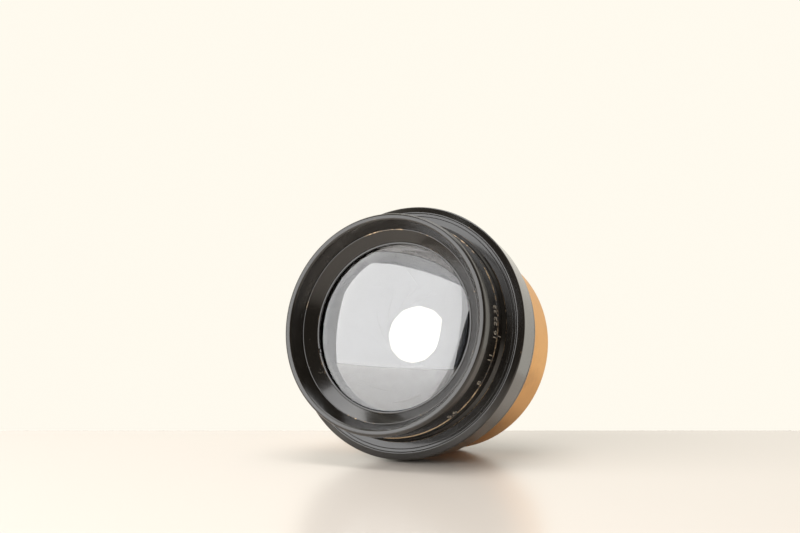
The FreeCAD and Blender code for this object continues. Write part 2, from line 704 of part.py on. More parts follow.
def carrier_screws():
    screws = []
    for place in carrier_screw_places():
        head_rear = CARRIER_FRONT + CARRIER_SCREW_HEAD_HEIGHT
        head = disc(CARRIER_SCREW_HEAD_RADIUS, CARRIER_FRONT, head_rear, place)
        shank = disc(CARRIER_SCREW_RADIUS, CARRIER_FRONT, CARRIER_FRONT + CARRIER_SCREW_LENGTH, place)
        screws.append(head.fuse(shank).removeSplitter())
    return Part.makeCompound(screws)


def rear_plate():
    spigot = IRIS_POCKET_RADIUS - THREAD_GAP
    plate = turned(
        [
            (BARREL_RADIUS + THREAD_GAP, 0),
            (BARREL_RADIUS + THREAD_GAP, -BARREL_SEAT_DEPTH),
            (BARREL_SPIGOT_RADIUS, -BARREL_SEAT_DEPTH),
            (BARREL_SPIGOT_RADIUS, PLATE_FRONT),
            (spigot - REAR_SPIGOT_WALL, PLATE_FRONT),
            (spigot - REAR_SPIGOT_WALL, BASE_REAR),
            (spigot, BASE_REAR),
            (spigot, PLATE_FRONT),
            (REAR_PLATE_RADIUS, PLATE_FRONT),
            (REAR_PLATE_RADIUS, 0, EDGE_BEVEL),
        ]
    )
    middle = (BARREL_RADIUS + REAR_PLATE_RADIUS) / 2
    for angle in (90, 270):
        hole = disc(SPANNER_HOLE_RADIUS, -SPANNER_HOLE_DEPTH, CUT_MARGIN, polar(middle, angle))
        plate = plate.cut(hole)
    return plate


def brass_barrel():
    return turned(
        [
            (BARREL_BORE, PLATE_FRONT),
            (BARREL_SPIGOT_RADIUS - THREAD_GAP, PLATE_FRONT, EDGE_BEVEL),
            (BARREL_SPIGOT_RADIUS - THREAD_GAP, -BARREL_SEAT_DEPTH),
            (BARREL_RADIUS - BARREL_RELIEF, -BARREL_SEAT_DEPTH),
            (BARREL_RADIUS - BARREL_RELIEF, 0),
            (BARREL_RADIUS, 0),
            (BARREL_RADIUS, BARREL_LENGTH, EDGE_BEVEL * 2),
            (BARREL_REAR_BORE, BARREL_LENGTH),
            (BARREL_REAR_BORE, MIDDLE_CELL_REAR),
            (BARREL_BORE, MIDDLE_CELL_REAR),
        ]
    )


def front_cell():
    """Cell whose dished front face falls from its flange to the glass."""
    bore = FRONT_GLASS_RADIUS + THREAD_GAP
    tube = HUB_BORE_RADIUS - THREAD_GAP
    stop = FRONT_GLASS_RADIUS - FRONT_STOP_WIDTH
    edge_rear = front_edge_rear()
    rear = edge_rear + FRONT_STOP_THICKNESS
    return turned(
        [
            (bore, CONE_FOOT),
            (CELL_FLANGE_RADIUS - EDGE_BEVEL, CELL_FRONT),
            (CELL_FLANGE_RADIUS, CELL_FRONT, SMALL_BEVEL),
            (CELL_FLANGE_RADIUS, HUB_FRONT),
            (tube, HUB_FRONT),
            (tube, rear, EDGE_BEVEL),
            (stop, rear),
            (stop, edge_rear),
            (bore, edge_rear),
        ]
    )


def front_dome():
    return curve_sag(FRONT_GLASS_CURVE, FRONT_GLASS_RADIUS)


def front_edge_front():
    """The glass touches the retaining ring at the ring's inner edge."""
    step = front_dome() - curve_sag(FRONT_GLASS_CURVE, FRONT_CLEAR_RADIUS)
    return GLASS_EDGE_FRONT + step + THREAD_GAP


def front_edge_rear():
    return front_edge_front() - front_dome() + FRONT_GLASS_THICKNESS


def front_glass():
    return glass(FRONT_GLASS_RADIUS, front_edge_front(), front_edge_rear(), front_dome(), 0)


def front_retaining_ring():
    outer = FRONT_GLASS_RADIUS
    ring = turned(
        [
            (FRONT_CLEAR_RADIUS, CONE_FOOT, SMALL_BEVEL),
            (outer, CONE_FOOT, SMALL_BEVEL),
            (outer, GLASS_EDGE_FRONT),
            (FRONT_CLEAR_RADIUS, GLASS_EDGE_FRONT),
        ]
    )
    return spanner_slots(
        ring,
        FRONT_CLEAR_RADIUS,
        outer,
        FRONT_SLOT_ANGLES,
        CONE_FOOT,
        RETAINER_SLOT_DEPTH,
        RETAINER_SLOT_WIDTH,
    )


def middle_cell():
    bore = MIDDLE_GLASS_RADIUS + THREAD_GAP
    return turned(
        [
            (bore, MIDDLE_CELL_FRONT),
            (BARREL_BORE - THREAD_GAP, MIDDLE_CELL_FRONT, EDGE_BEVEL),
            (BARREL_BORE - THREAD_GAP, MIDDLE_CELL_REAR),
            (MIDDLE_CLEAR_RADIUS, MIDDLE_CELL_REAR),
            (MIDDLE_CLEAR_RADIUS, MIDDLE_EDGE_REAR),
            (bore, MIDDLE_EDGE_REAR),
        ]
    )


def middle_glass():
    return glass(
        MIDDLE_GLASS_RADIUS,
        MIDDLE_EDGE_FRONT,
        MIDDLE_EDGE_REAR,
        -curve_sag(MIDDLE_FRONT_CURVE, MIDDLE_GLASS_RADIUS),
        -curve_sag(MIDDLE_REAR_CURVE, MIDDLE_GLASS_RADIUS),
    )


def middle_retaining_ring():
    inner = MIDDLE_CLEAR_RADIUS
    outer = MIDDLE_GLASS_RADIUS
    ring = band(inner, outer, MIDDLE_CELL_FRONT, MIDDLE_EDGE_FRONT, SMALL_BEVEL)
    return spanner_slots(
        ring,
        inner,
        outer,
        PLAIN_SLOT_ANGLES,
        MIDDLE_CELL_FRONT,
        RETAINER_SLOT_DEPTH,
        RETAINER_SLOT_WIDTH,
    )


def rear_cell():
    bore = REAR_GLASS_RADIUS + THREAD_GAP
    thread = BARREL_REAR_BORE - THREAD_GAP
    return turned(
        [
            (REAR_CLEAR_RADIUS, BARREL_LENGTH - REAR_CELL_THREAD_LENGTH),
            (thread, BARREL_LENGTH - REAR_CELL_THREAD_LENGTH, EDGE_BEVEL),
            (thread, BARREL_LENGTH),
            (REAR_CELL_FLANGE_RADIUS, BARREL_LENGTH),
            (REAR_CELL_FLANGE_RADIUS, REAR_FLANGE_REAR, EDGE_BEVEL * 2),
            (REAR_CELL_TAIL_RADIUS, REAR_FLANGE_REAR),
            (REAR_CELL_TAIL_RADIUS, REAR_CELL_REAR, EDGE_BEVEL * 2),
            (REAR_CELL_TAIL_RADIUS - REAR_LIP_WIDTH, REAR_CELL_REAR),
            (bore, REAR_RING_REAR),
            (bore, rear_seat_position()),
            (REAR_CLEAR_RADIUS, rear_seat_position()),
        ]
    )


def rear_seat_position():
    """The glass touches the cell's shoulder at the shoulder's inner edge."""
    dome = curve_sag(REAR_FRONT_CURVE, REAR_GLASS_RADIUS)
    return REAR_EDGE_FRONT - dome + curve_sag(REAR_FRONT_CURVE, REAR_CLEAR_RADIUS) - THREAD_GAP


def rear_glass():
    return glass(
        REAR_GLASS_RADIUS,
        REAR_EDGE_FRONT,
        REAR_EDGE_REAR,
        curve_sag(REAR_FRONT_CURVE, REAR_GLASS_RADIUS),
        curve_sag(REAR_REAR_CURVE, REAR_GLASS_RADIUS),
    )


def rear_ring_front():
    """The ring touches the glass at the ring's inner edge."""
    dome = curve_sag(REAR_REAR_CURVE, REAR_GLASS_RADIUS)
    return REAR_EDGE_REAR + dome - curve_sag(REAR_REAR_CURVE, REAR_CLEAR_RADIUS) + THREAD_GAP


def rear_retaining_ring():
    ring = band(REAR_CLEAR_RADIUS, REAR_GLASS_RADIUS, rear_ring_front(), REAR_RING_REAR, SMALL_BEVEL)
    return spanner_slots(
        ring,
        REAR_CLEAR_RADIUS,
        REAR_GLASS_RADIUS,
        PLAIN_SLOT_ANGLES,
        REAR_RING_REAR,
        -RETAINER_SLOT_DEPTH * 2,
        RETAINER_SLOT_WIDTH,
    )


def leaf_name(number):
    return f"iris_leaf_{number + 1:02d}"


def all_pieces():
    makers = [
        main_housing,
        face_plate,
        index_collar,
        aperture_ring,
        key_pin,
        stop_screw,
        collar_grub_screw,
        face_grub_screw,
        rear_grub_screw,
        iris_base,
        cam_ring,
        cam_carrier,
        carrier_screws,
        rear_plate,
        brass_barrel,
        front_cell,
        front_glass,
        front_retaining_ring,
        middle_cell,
        middle_glass,
        middle_retaining_ring,
        rear_cell,
        rear_glass,
        rear_retaining_ring,
    ]
    pieces = {maker.__name__: maker() for maker in makers}
    for number in range(LEAF_COUNT):
        pieces[leaf_name(number)] = iris_leaf(number)
    return pieces


def save(name, shape):
    placed = shape.copy()
    placed.transformShape(TO_PART_FRAME)
    placed.exportStep(f"parts/{name}.step")


def main():
    os.makedirs("parts", exist_ok=True)
    for name, shape in all_pieces().items():
        save(name, shape)
        print(f"{name:24s} solids {len(shape.Solids)} volume {shape.Volume:10.1f}")
    print(f"ring range {RING_TO_OPEN:.4f} to {RING_TO_CLOSED:.4f} degrees")
    print(f"leaf ratio {LEAF_RATIO:.6f}, swing {LEAF_SWING:.4f}, rest {LEAF_REST_ANGLE:.4f} degrees")


main()
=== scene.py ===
"""Looks of a portrait lens: black lacquered rings over a satin brass barrel, with real glass and iris."""

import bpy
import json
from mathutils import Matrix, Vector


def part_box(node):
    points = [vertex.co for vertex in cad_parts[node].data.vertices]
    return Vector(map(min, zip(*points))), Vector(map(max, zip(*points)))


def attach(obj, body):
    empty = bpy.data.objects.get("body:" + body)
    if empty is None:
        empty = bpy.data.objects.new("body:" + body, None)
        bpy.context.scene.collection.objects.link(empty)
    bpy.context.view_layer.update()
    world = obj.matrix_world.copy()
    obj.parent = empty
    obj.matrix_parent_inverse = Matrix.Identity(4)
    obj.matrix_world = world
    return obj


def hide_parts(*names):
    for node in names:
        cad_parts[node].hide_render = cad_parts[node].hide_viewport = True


bl_info = {
    "name": "Portrait Lens",
    "version": (1, 0, 0),
    "blender": (4, 5, 0),
    "location": "View3D > Sidebar > Portrait Lens",
    "description": "Builds the finished surfaces of a view camera portrait lens and its studio stage",
    "category": "Add Mesh",
}

import json
import math

import bmesh
import bpy
import numpy as np
from mathutils import Matrix, Vector

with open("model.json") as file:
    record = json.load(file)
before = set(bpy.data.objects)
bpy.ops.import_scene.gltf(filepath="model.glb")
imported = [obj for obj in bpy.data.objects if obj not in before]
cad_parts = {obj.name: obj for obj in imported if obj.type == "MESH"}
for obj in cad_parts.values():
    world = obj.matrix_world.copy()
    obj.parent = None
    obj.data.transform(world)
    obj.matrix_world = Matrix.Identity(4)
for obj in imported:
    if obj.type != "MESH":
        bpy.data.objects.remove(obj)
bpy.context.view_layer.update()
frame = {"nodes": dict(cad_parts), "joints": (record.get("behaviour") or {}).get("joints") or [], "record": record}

ROOT = "lens_body"
CONTROL = "aperture_control"
MM = 0.001
TURN_STEPS = 288
ARC_STEPS = 5
SHADING_BEVEL = 0.06 * MM
HAIR_EDGE = 0.08 * MM
SHARP_EDGE = 0.1 * MM
FINE_EDGE = 0.12 * MM
CRISP_EDGE = 0.15 * MM
SMALL_EDGE = 0.2 * MM
EASY_EDGE = 0.3 * MM
BROAD_EDGE = 0.6 * MM
GLASS_EDGE = 0.02 * MM
PIECE_GAP = 0.03 * MM
TURNING_GAP = 0.05 * MM
SEAT_GAP = 0.06 * MM
CUT_MARGIN = 1.0 * MM
GRUB_HOLE_RADIUS = 0.8 * MM
STOP_HEAD_HOLE_RADIUS = 1.53 * MM
STOP_HEAD_DEPTH = 1.0 * MM
STOP_SHANK_HOLE_RADIUS = 0.93 * MM
WRENCH_HOLE_RADIUS = 1.0 * MM
WRENCH_HOLE_DEPTH = 1.2 * MM
SLOT_REACH = 4.0 * MM
SLOT_INSET = 0.5 * MM
CELL_LAND = 0.3 * MM
GLASS_SEAT_STEP = 0.4 * MM
PLATE_SPIGOT_WALL = 2.6 * MM
NUMBER_BOLDNESS = 0.03 * MM
PAINT_DEPTH = 0.1 * MM
RIM_TOLERANCE = 0.01 * MM
AXIS_TOLERANCE = 0.05 * MM
LACQUER_RELIEF = 0.012 * MM
BRUSHING_RELIEF = 0.01 * MM
MATT_RELIEF = 0.015 * MM
APERTURE_NUMBERS = ("5.6", "8", "11", "16", "22", "32")
GUARDS = ((0.12 * MM, 0.75), (0.3 * MM, 0.4), (0.7 * MM, 0.12), (1.4 * MM, 0.0))


def outer_radius(node):
    """How far a turned CAD node reaches from the optical axis."""
    coordinates = node_points(node)
    return float(np.hypot(coordinates[:, 0], coordinates[:, 2]).max())


def node_points(node):
    mesh = frame["nodes"][node].data
    points = np.empty(len(mesh.vertices) * 3, np.float32)
    mesh.vertices.foreach_get("co", points)
    return points.reshape(-1, 3).astype(float)


def front_of(node):
    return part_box(node)[0].y


def rear_of(node):
    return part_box(node)[1].y


def length_property(name, description, default):
    return bpy.props.FloatProperty(
        name=name, description=description, default=default, min=0.0, unit="LENGTH", precision=5
    )


def angle_property(name, description, degrees):
    return bpy.props.FloatProperty(
        name=name, description=description, default=math.radians(degrees), subtype="ANGLE"
    )


def colour_property(name, description, default):
    return bpy.props.FloatVectorProperty(
        name=name, description=description, default=default, size=3, min=0.0, max=1.0, subtype="COLOR"
    )


class LensSizes(bpy.types.PropertyGroup):
    """Radii and steps of the turned pieces that the frame's boxes do not give."""

    housing_front_radius: length_property("Housing front", "Radius at the housing's front edge", 49.0 * MM)
    housing_rear_radius: length_property("Housing rear", "Radius at the housing's rear edge", 47.4 * MM)
    housing_front_bevel: length_property("Housing bevel", "Bevel of the housing's front edge", 0.5 * MM)
    housing_land: length_property("Housing land", "Flat width in front of the housing's slope", 0.4 * MM)
    housing_slope: length_property("Housing slope", "Depth of the slope at the housing's front", 1.0 * MM)
    pocket_radius: length_property("Iris pocket", "Bore of the housing", 45.0 * MM)
    face_radius: length_property("Face", "Radius of the flat black face", 46.17 * MM)
    face_thickness: length_property("Face thickness", "Thickness of the face plate", 2.5 * MM)
    face_groove_radius: length_property("Face groove", "Radius of the fine groove in the face", 44.9 * MM)
    face_groove_size: length_property("Groove size", "Depth and width of the fine groove", 0.2 * MM)
    hub_radius: length_property("Hub", "Radius the aperture ring turns on", 38.0 * MM)
    hub_bore: length_property("Hub bore", "Bore of the hub", 35.65 * MM)
    collar_foot_radius: length_property("Collar foot", "Radius of the collar at the face", 42.5 * MM)
    collar_neck_radius: length_property("Collar neck", "Radius of the collar at the ring", 41.5 * MM)
    collar_foot_height: length_property("Collar foot height", "Height of the collar's foot", 1.2 * MM)
    neck_radius: length_property("Neck", "Radius of the aperture ring's neck", 41.3 * MM)
    rim_radius: length_property("Rim", "Radius of the rim", 41.9 * MM)
    rim_length: length_property("Rim length", "Length of the rim", 4.6 * MM)
    rim_round: length_property("Rim rounding", "Rounding of the rim's outer edge", 1.5 * MM)
    rim_mouth_radius: length_property("Rim mouth", "Radius of the rim's mouth", 39.6 * MM)
    rim_mouth_round: length_property("Mouth rounding", "Rounding of the rim's mouth", 0.7 * MM)
    shelf_radius: length_property("Shelf", "Bore of the shelf inside the rim", 37.0 * MM)
    shelf_thickness: length_property("Shelf thickness", "Thickness of the shelf inside the rim", 1.4 * MM)
    ring_gap: length_property("Ring gap", "Clearance at the ends of the aperture ring", 0.1 * MM)
    cone_depth: length_property("Dish", "Depth of the dished face round the glass", 3.7 * MM)
    cell_flange: length_property("Cell flange", "Thickness of the front cell's flange", 1.3 * MM)
    cell_bore: length_property("Cell bore", "Bore of the front cell", 32.63 * MM)
    glass_clear_radius: length_property("Clear glass", "Clear radius of the front glass", 31.9 * MM)
    slot_width: length_property("Slot width", "Width of the spanner slots", 1.4 * MM)
    slot_depth: length_property("Slot depth", "Depth of the spanner slots", 0.5 * MM)
    barrel_spigot: length_property("Barrel spigot", "Radius of the barrel in the rear plate", 39.87 * MM)
    barrel_seat: length_property("Barrel seat", "Depth of the barrel's shoulder in the plate", 0.5 * MM)
    barrel_relief: length_property("Barrel relief", "Step from the barrel down to the shoulder", 0.7 * MM)
    barrel_bore: length_property("Barrel bore", "Bore of the barrel", 37.6 * MM)
    barrel_rear_bore: length_property("Barrel rear bore", "Bore at the barrel's rear", 36.4 * MM)
    plate_thickness: length_property("Rear plate", "Thickness of the rear plate", 3.2 * MM)
    rear_tail_radius: length_property("Rear cell", "Radius of the rear cell behind its flange", 36.5 * MM)
    rear_lip: length_property("Rear lip", "Width of the rear cell's rear edge", 1.0 * MM)
    rear_flange: length_property("Rear flange", "Thickness of the rear cell's flange", 2.4 * MM)
    rear_clear_radius: length_property("Rear clear glass", "Clear radius of the rear glass", 30.0 * MM)
    number_height: length_property("Number height", "Height of the aperture numbers", 2.5 * MM)
    number_lift: length_property("Number gap", "Distance from the numbers to the ring's edge", 0.7 * MM)
    paint_thickness: length_property("Paint", "Thickness of the paint in the numbers", 0.02 * MM)
    leaf_open_radius: length_property("Open iris", "Radius of the iris wide open", 27.0 * MM)
    index_angle: angle_property("Index", "Clockwise angle of the index from the top", 92.5)
    index_inset: length_property("Index inset", "From the collar's front to the index line", 0.4 * MM)
    index_length: length_property("Index length", "Length of the index line", 2.6 * MM)
    index_width: length_property("Index width", "Width of the index line", 0.32 * MM)


class LensColours(bpy.types.PropertyGroup):
    """Colours of the finishes."""

    lacquer: colour_property("Lacquer", "Black lacquer", (0.0105, 0.0085, 0.0065))
    brass: colour_property("Brass", "Satin brass", (0.81, 0.44, 0.155))
    worn_brass: colour_property("Worn brass", "Brass that shows at worn edges", (0.55, 0.40, 0.25))
    steel: colour_property("Steel", "Darkened screw steel", (0.16, 0.15, 0.14))
    leaf: colour_property("Leaves", "Blued iris leaves", (0.028, 0.029, 0.033))
    matt: colour_property("Matt black", "Blackened inside of the barrel", (0.008, 0.008, 0.008))
    paint: colour_property("Number paint", "Paint in the engraved numbers", (0.52, 0.47, 0.40))
    floor: colour_property("Floor", "Pale table", (0.93, 0.85, 0.77))
    backdrop: colour_property("Backdrop", "Pale background", (1.0, 0.96, 0.86))


class StageSettings(bpy.types.PropertyGroup):
    """Camera and lights, placed from the middle of the housing's front edge."""

    camera_distance: length_property("Distance", "Camera to the housing's front, as seen", 490.0 * MM)
    camera_right: length_property("Right", "Housing's centre right of the view's middle", 1.63 * MM)
    camera_down: length_property("Down", "Housing's centre below the view's middle", 24.61 * MM)
    camera_yaw: angle_property("Yaw", "How far the lens is turned from the camera", 27.68)
    table_behind: length_property("Table behind", "From the housing's front to the table's edge", 0.087)
    table_size: length_property("Table size", "How far the table reaches to the sides and the front", 3.0)
    table_thickness: length_property("Table thickness", "Thickness of the table", 0.03)
    focal_length: bpy.props.FloatProperty(
        name="Focal length", description="Camera focal length in millimetres", default=57.6
    )
    key_azimuth: angle_property("Key azimuth", "How far left of the camera the key stands", 52)
    key_elevation: angle_property("Key elevation", "How high the key stands", 21.5)
    key_distance: length_property("Key distance", "Distance of the key", 0.9)
    key_width: length_property("Key width", "Width of the key softbox", 1.3)
    key_height: length_property("Key height", "Height of the key softbox", 0.81)
    key_power: bpy.props.FloatProperty(name="Key power", description="Watts of the key", default=11.0)
    top_distance: length_property("Top distance", "Height of the top softbox over the lens", 0.9)
    top_size: length_property("Top size", "Width and height of the top softbox", 0.6)
    top_power: bpy.props.FloatProperty(name="Top power", description="Watts of the top light", default=4.0)
    world_strength: bpy.props.FloatProperty(
        name="Ambient", description="Strength of the room's light on the object", default=0.27
    )
    room_level: bpy.props.FloatProperty(
        name="Room", description="Strength of the room that gloss shows at the camera's side", default=0.06
    )


def sizes():
    return bpy.context.scene.lens_sizes


def colours():
    return bpy.context.scene.lens_colours


def stage_settings():
    return bpy.context.scene.lens_stage


# Turned shapes


def corner_arc(before, corner, after, bevel):
    """Rounded corner as a short curve between two points bevel away from it."""
    ends = []
    for neighbour in (before, after):
        step = Vector(neighbour) - Vector(corner)
        ends.append(Vector(corner) + step.normalized() * min(bevel, step.length * 0.45))
    points = []
    for number in range(ARC_STEPS):
        t = number / (ARC_STEPS - 1)
        point = ends[0] * (1 - t) ** 2 + Vector(corner) * 2 * t * (1 - t) + ends[1] * t**2
        points.append(point)
    return points


def outline(corners, closed=True):
    """Points (radius, y, wear) of a turned section. A corner is (radius, y) or (radius, y, bevel)."""
    count = len(corners)
    arcs = []
    for place, corner in enumerate(corners):
        wear = 1.0 if len(corner) == 3 else 0.0
        if not closed and place in (0, count - 1):
            arcs.append(([Vector(corner[:2])], 0.0))
            continue
        bevel = corner[2] if len(corner) == 3 else SHADING_BEVEL
        before = corners[place - 1][:2]
        after = corners[(place + 1) % count][:2]
        arcs.append((corner_arc(before, corner[:2], after, bevel), wear))
    points = []
    for place, (arc, wear) in enumerate(arcs):
        points.extend((point.x, point.y, wear) for point in arc)
        if not closed and place == count - 1:
            break
        following, next_wear = arcs[(place + 1) % count]
        points.extend(guard_points(arc[-1], following[0], wear, next_wear))
    return points


def guard_points(start, end, wear, next_wear):
    """Points along a straight run that keep its shading flat and let the wear fade out."""
    run = end - start
    length = run.length
    made = []
    for distance, share in GUARDS:
        if distance < length / 2:
            made.append((distance / length, wear * share))
    for distance, share in reversed(GUARDS):
        if distance < length / 2:
            made.append((1 - distance / length, next_wear * share))
    return [(*(start + run * part), value) for part, value in made]


def dome_points(vertex_y, edge_y, radius, count=28):
    """Half section of a spherical glass face from the axis to its edge."""
    sag = edge_y - vertex_y
    if abs(sag) < 1e-7:
        return [(radius * step / count, vertex_y) for step in range(count + 1)]
    curve = (radius**2 + sag**2) / (2 * sag)
    points = []
    for step in range(count + 1):
        r = radius * step / count
        drop = abs(curve) - math.sqrt(curve**2 - r**2)
        points.append((r, vertex_y + math.copysign(drop, sag)))
    return points


def revolve(name, points, closed=True, steps=TURN_STEPS):
    """Mesh object turned about the optical axis, with the wear kept as a point attribute."""
    mesh = bpy.data.meshes.new(name)
    made = bmesh.new()
    layer = made.verts.layers.float.new("wear")
    rings = []
    for radius, y, wear in points:
        if radius < 1e-9:
            vertex = made.verts.new((0, y, 0))
            vertex[layer] = wear
            rings.append([vertex] * steps)
            continue
        ring = []
        for step in range(steps):
            angle = 2 * math.pi * step / steps
            vertex = made.verts.new((radius * math.sin(angle), y, radius * math.cos(angle)))
            vertex[layer] = wear
            ring.append(vertex)
        rings.append(ring)
    pairs = list(zip(rings, rings[1:]))
    if closed:
        pairs.append((rings[-1], rings[0]))
    for first, second in pairs:
        for step in range(steps):
            following = (step + 1) % steps
            corners = (first[step], first[following], second[following], second[step])
            face = made.faces.new(list(dict.fromkeys(corners)))
            face.smooth = True
    bmesh.ops.recalc_face_normals(made, faces=made.faces)
    made.to_mesh(mesh)
    made.free()
    piece = bpy.data.objects.new(name, mesh)
    bpy.context.scene.collection.objects.link(piece)
    return piece


def turned(name, corners):
    return revolve(name, outline(corners))


def cut_with(piece, cutters):
    """Take the cutters out of a piece and remove them."""
    for cutter in cutters:
        change = piece.modifiers.new("cut", "BOOLEAN")
        change.operation = "DIFFERENCE"
        change.solver = "EXACT"
        change.object = cutter
    graph = bpy.context.evaluated_depsgraph_get()
    mesh = bpy.data.meshes.new_from_object(piece.evaluated_get(graph))
    piece.modifiers.clear()
    piece.data = mesh
    for cutter in cutters:
        bpy.data.objects.remove(cutter)
    return piece


def block(size, centre, angle):
    """Cutter box, drawn at the top of the lens and turned clockwise by the angle."""
    made = bmesh.new()
    bmesh.ops.create_cube(made, size=1.0)
    bmesh.ops.scale(made, vec=size, verts=made.verts)
    bmesh.ops.translate(made, vec=centre, verts=made.verts)
    bmesh.ops.rotate(made, cent=(0, 0, 0), matrix=Matrix.Rotation(angle, 3, "Y"), verts=made.verts)
    return link_cutter(made)


def rod(radius, start, end):
    """Cutter rod between two points."""
    made = bmesh.new()
    axis = Vector(end) - Vector(start)
    turn = axis.to_track_quat("Z", "Y").to_matrix().to_4x4()
    place = Matrix.Translation((Vector(start) + Vector(end)) / 2) @ turn
    bmesh.ops.create_cone(
        made, cap_ends=True, segments=32, radius1=radius, radius2=radius, depth=axis.length, matrix=place
    )
    return link_cutter(made)


def link_cutter(made):
    mesh = bpy.data.meshes.new("cutter")
    made.to_mesh(mesh)
    made.free()
    cutter = bpy.data.objects.new("cutter", mesh)
    bpy.context.scene.collection.objects.link(cutter)
    return cutter


def around(radius, y, angle):
    """Point at a clockwise angle from the top, as seen from the front."""
    return Vector((radius * math.sin(angle), y, radius * math.cos(angle)))


def angle_of(node):
    """Clockwise angle from the top of a small node's middle."""
    low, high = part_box(node)
    middle = (low + high) / 2
    return math.atan2(middle.x, middle.z)


def hole_for(node, radius, inner, outer):
    """Radial cutter over a screw's own place."""
    low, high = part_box(node)
    y = (low.y + high.y) / 2
    angle = angle_of(node)
    return rod(radius, around(inner, y, angle), around(outer, y, angle))


def dress(piece, material, body, slot, *nodes):
    """Give a piece its finish, let it ride on its body and stand for its CAD nodes."""
    piece.data.materials.clear()
    piece.data.materials.append(material)
    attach(piece, body)
    if nodes:
        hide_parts(*nodes)
    return piece


def finish_node(node, material):
    """Give a CAD node a better material."""
    mesh = frame["nodes"][node].data
    mesh.materials.clear()
    mesh.materials.append(material)


# Shader groups


def new_group(name, inputs, outputs):
    """Empty shader node group with float sockets."""
    group = bpy.data.node_groups.new(name, "ShaderNodeTree")
    for label, default in inputs:
        socket = group.interface.new_socket(label, in_out="INPUT", socket_type="NodeSocketFloat")
        socket.default_value = default
    for label in outputs:
        group.interface.new_socket(label, in_out="OUTPUT", socket_type="NodeSocketFloat")
    start = group.nodes.new("NodeGroupInput")
    end = group.nodes.new("NodeGroupOutput")
    return group, start, end


def put(value, socket, links):
    """Link or set one input."""
    if isinstance(value, bpy.types.NodeSocket):
        links.new(value, socket)
    elif value is not None:
        socket.default_value = value


def calc(tree, operation, *values):
    """Math node with its inputs linked or set, returned as its output."""
    node = tree.nodes.new("ShaderNodeMath")
    node.operation = operation
    for value, socket in zip(values, node.inputs):
        put(value, socket, tree.links)
    return node.outputs[0]


def noise(tree, vector, scale, detail=3.0, roughness=0.55):
    node = tree.nodes.new("ShaderNodeTexNoise")
    node.inputs["Detail"].default_value = detail
    node.inputs["Roughness"].default_value = roughness
    put(scale, node.inputs["Scale"], tree.links)
    tree.links.new(vector, node.inputs["Vector"])
    return node.outputs["Fac"]


def smooth_range(tree, value, low, high):
    node = tree.nodes.new("ShaderNodeMapRange")
    node.interpolation_type = "SMOOTHSTEP"
    put(value, node.inputs["Value"], tree.links)
    put(low, node.inputs["From Min"], tree.links)
    put(high, node.inputs["From Max"], tree.links)
    return node.outputs["Result"]


def object_place(tree):
    return tree.nodes.new("ShaderNodeTexCoord").outputs["Object"]


def turned_place(tree, fineness, length):
    """Coordinates that run across the marks a lathe tool leaves and barely along them."""
    split = tree.nodes.new("ShaderNodeSeparateXYZ")
    tree.links.new(object_place(tree), split.inputs[0])
    x, y, z = split.outputs
    squares = [calc(tree, "MULTIPLY", value, value) for value in (x, z)]
    across = calc(tree, "SQRT", calc(tree, "ADD", *squares))
    join = tree.nodes.new("ShaderNodeCombineXYZ")
    angle = calc(tree, "ARCTAN2", x, z)
    put(calc(tree, "MULTIPLY", y, fineness), join.inputs[0], tree.links)
    put(calc(tree, "MULTIPLY", across, fineness), join.inputs[1], tree.links)
    put(calc(tree, "MULTIPLY", angle, length), join.inputs[2], tree.links)
    return join.outputs[0]


def turning_marks_group():
    """Fine rings left by turning and polishing, broken up round the piece."""
    group, start, end = new_group("Turning marks", [("Fineness", 2500.0), ("Length", 3.0)], ["Marks"])
    place = turned_place(group, start.outputs["Fineness"], start.outputs["Length"])
    fine = noise(group, place, 1.0, detail=4.0, roughness=0.7)
    group.links.new(fine, end.inputs["Marks"])
    return group


def edge_wear_group():
    """Where handling has rubbed the lacquer off: sharp edges first, then stray spots."""
    inputs = [("Amount", 0.5), ("Spots", 0.3)]
    group, start, end = new_group("Edge wear", inputs, ["Bare", "Rubbed"])
    attribute = group.nodes.new("ShaderNodeAttribute")
    attribute.attribute_name = "wear"
    edge = attribute.outputs["Fac"]
    place = object_place(group)
    broad = noise(group, place, 60.0, detail=2.0)
    fine = noise(group, place, 900.0, detail=5.0, roughness=0.7)
    ragged = calc(group, "ADD", calc(group, "MULTIPLY", broad, 0.6), calc(group, "MULTIPLY", fine, 0.55))
    reach = calc(group, "SUBTRACT", calc(group, "ADD", edge, start.outputs["Amount"]), 0.5)
    level = calc(group, "SUBTRACT", reach, calc(group, "MULTIPLY", ragged, 0.8))
    bare = smooth_range(group, level, 0.08, 0.2)
    rubbed = smooth_range(group, level, -0.35, 0.2)
    chips = smooth_range(group, noise(group, place, 420.0, detail=6.0, roughness=0.8), 0.735, 0.76)
    spots = calc(group, "MULTIPLY", chips, start.outputs["Spots"])
    group.links.new(calc(group, "MAXIMUM", bare, spots), end.inputs["Bare"])
    group.links.new(rubbed, end.inputs["Rubbed"])
    return group


def grime_group():
    """Dust specks and finger smears."""
    inputs = [("Smears", 1.0), ("Specks", 1.0)]
    group, start, end = new_group("Dust and smears", inputs, ["Smear", "Speck"])
    place = object_place(group)
    smear = smooth_range(group, noise(group, place, 34.0, detail=4.0, roughness=0.6), 0.42, 0.72)
    dots = group.nodes.new("ShaderNodeTexVoronoi")
    dots.inputs["Scale"].default_value = 520.0
    group.links.new(place, dots.inputs["Vector"])
    near = smooth_range(group, dots.outputs["Distance"], 0.16, 0.07)
    chosen = smooth_range(group, noise(group, place, 260.0, detail=1.0), 0.6, 0.68)
    speck = calc(group, "MULTIPLY", calc(group, "MULTIPLY", near, chosen), start.outputs["Specks"])
    group.links.new(calc(group, "MULTIPLY", smear, start.outputs["Smears"]), end.inputs["Smear"])
    group.links.new(speck, end.inputs["Speck"])
    return group


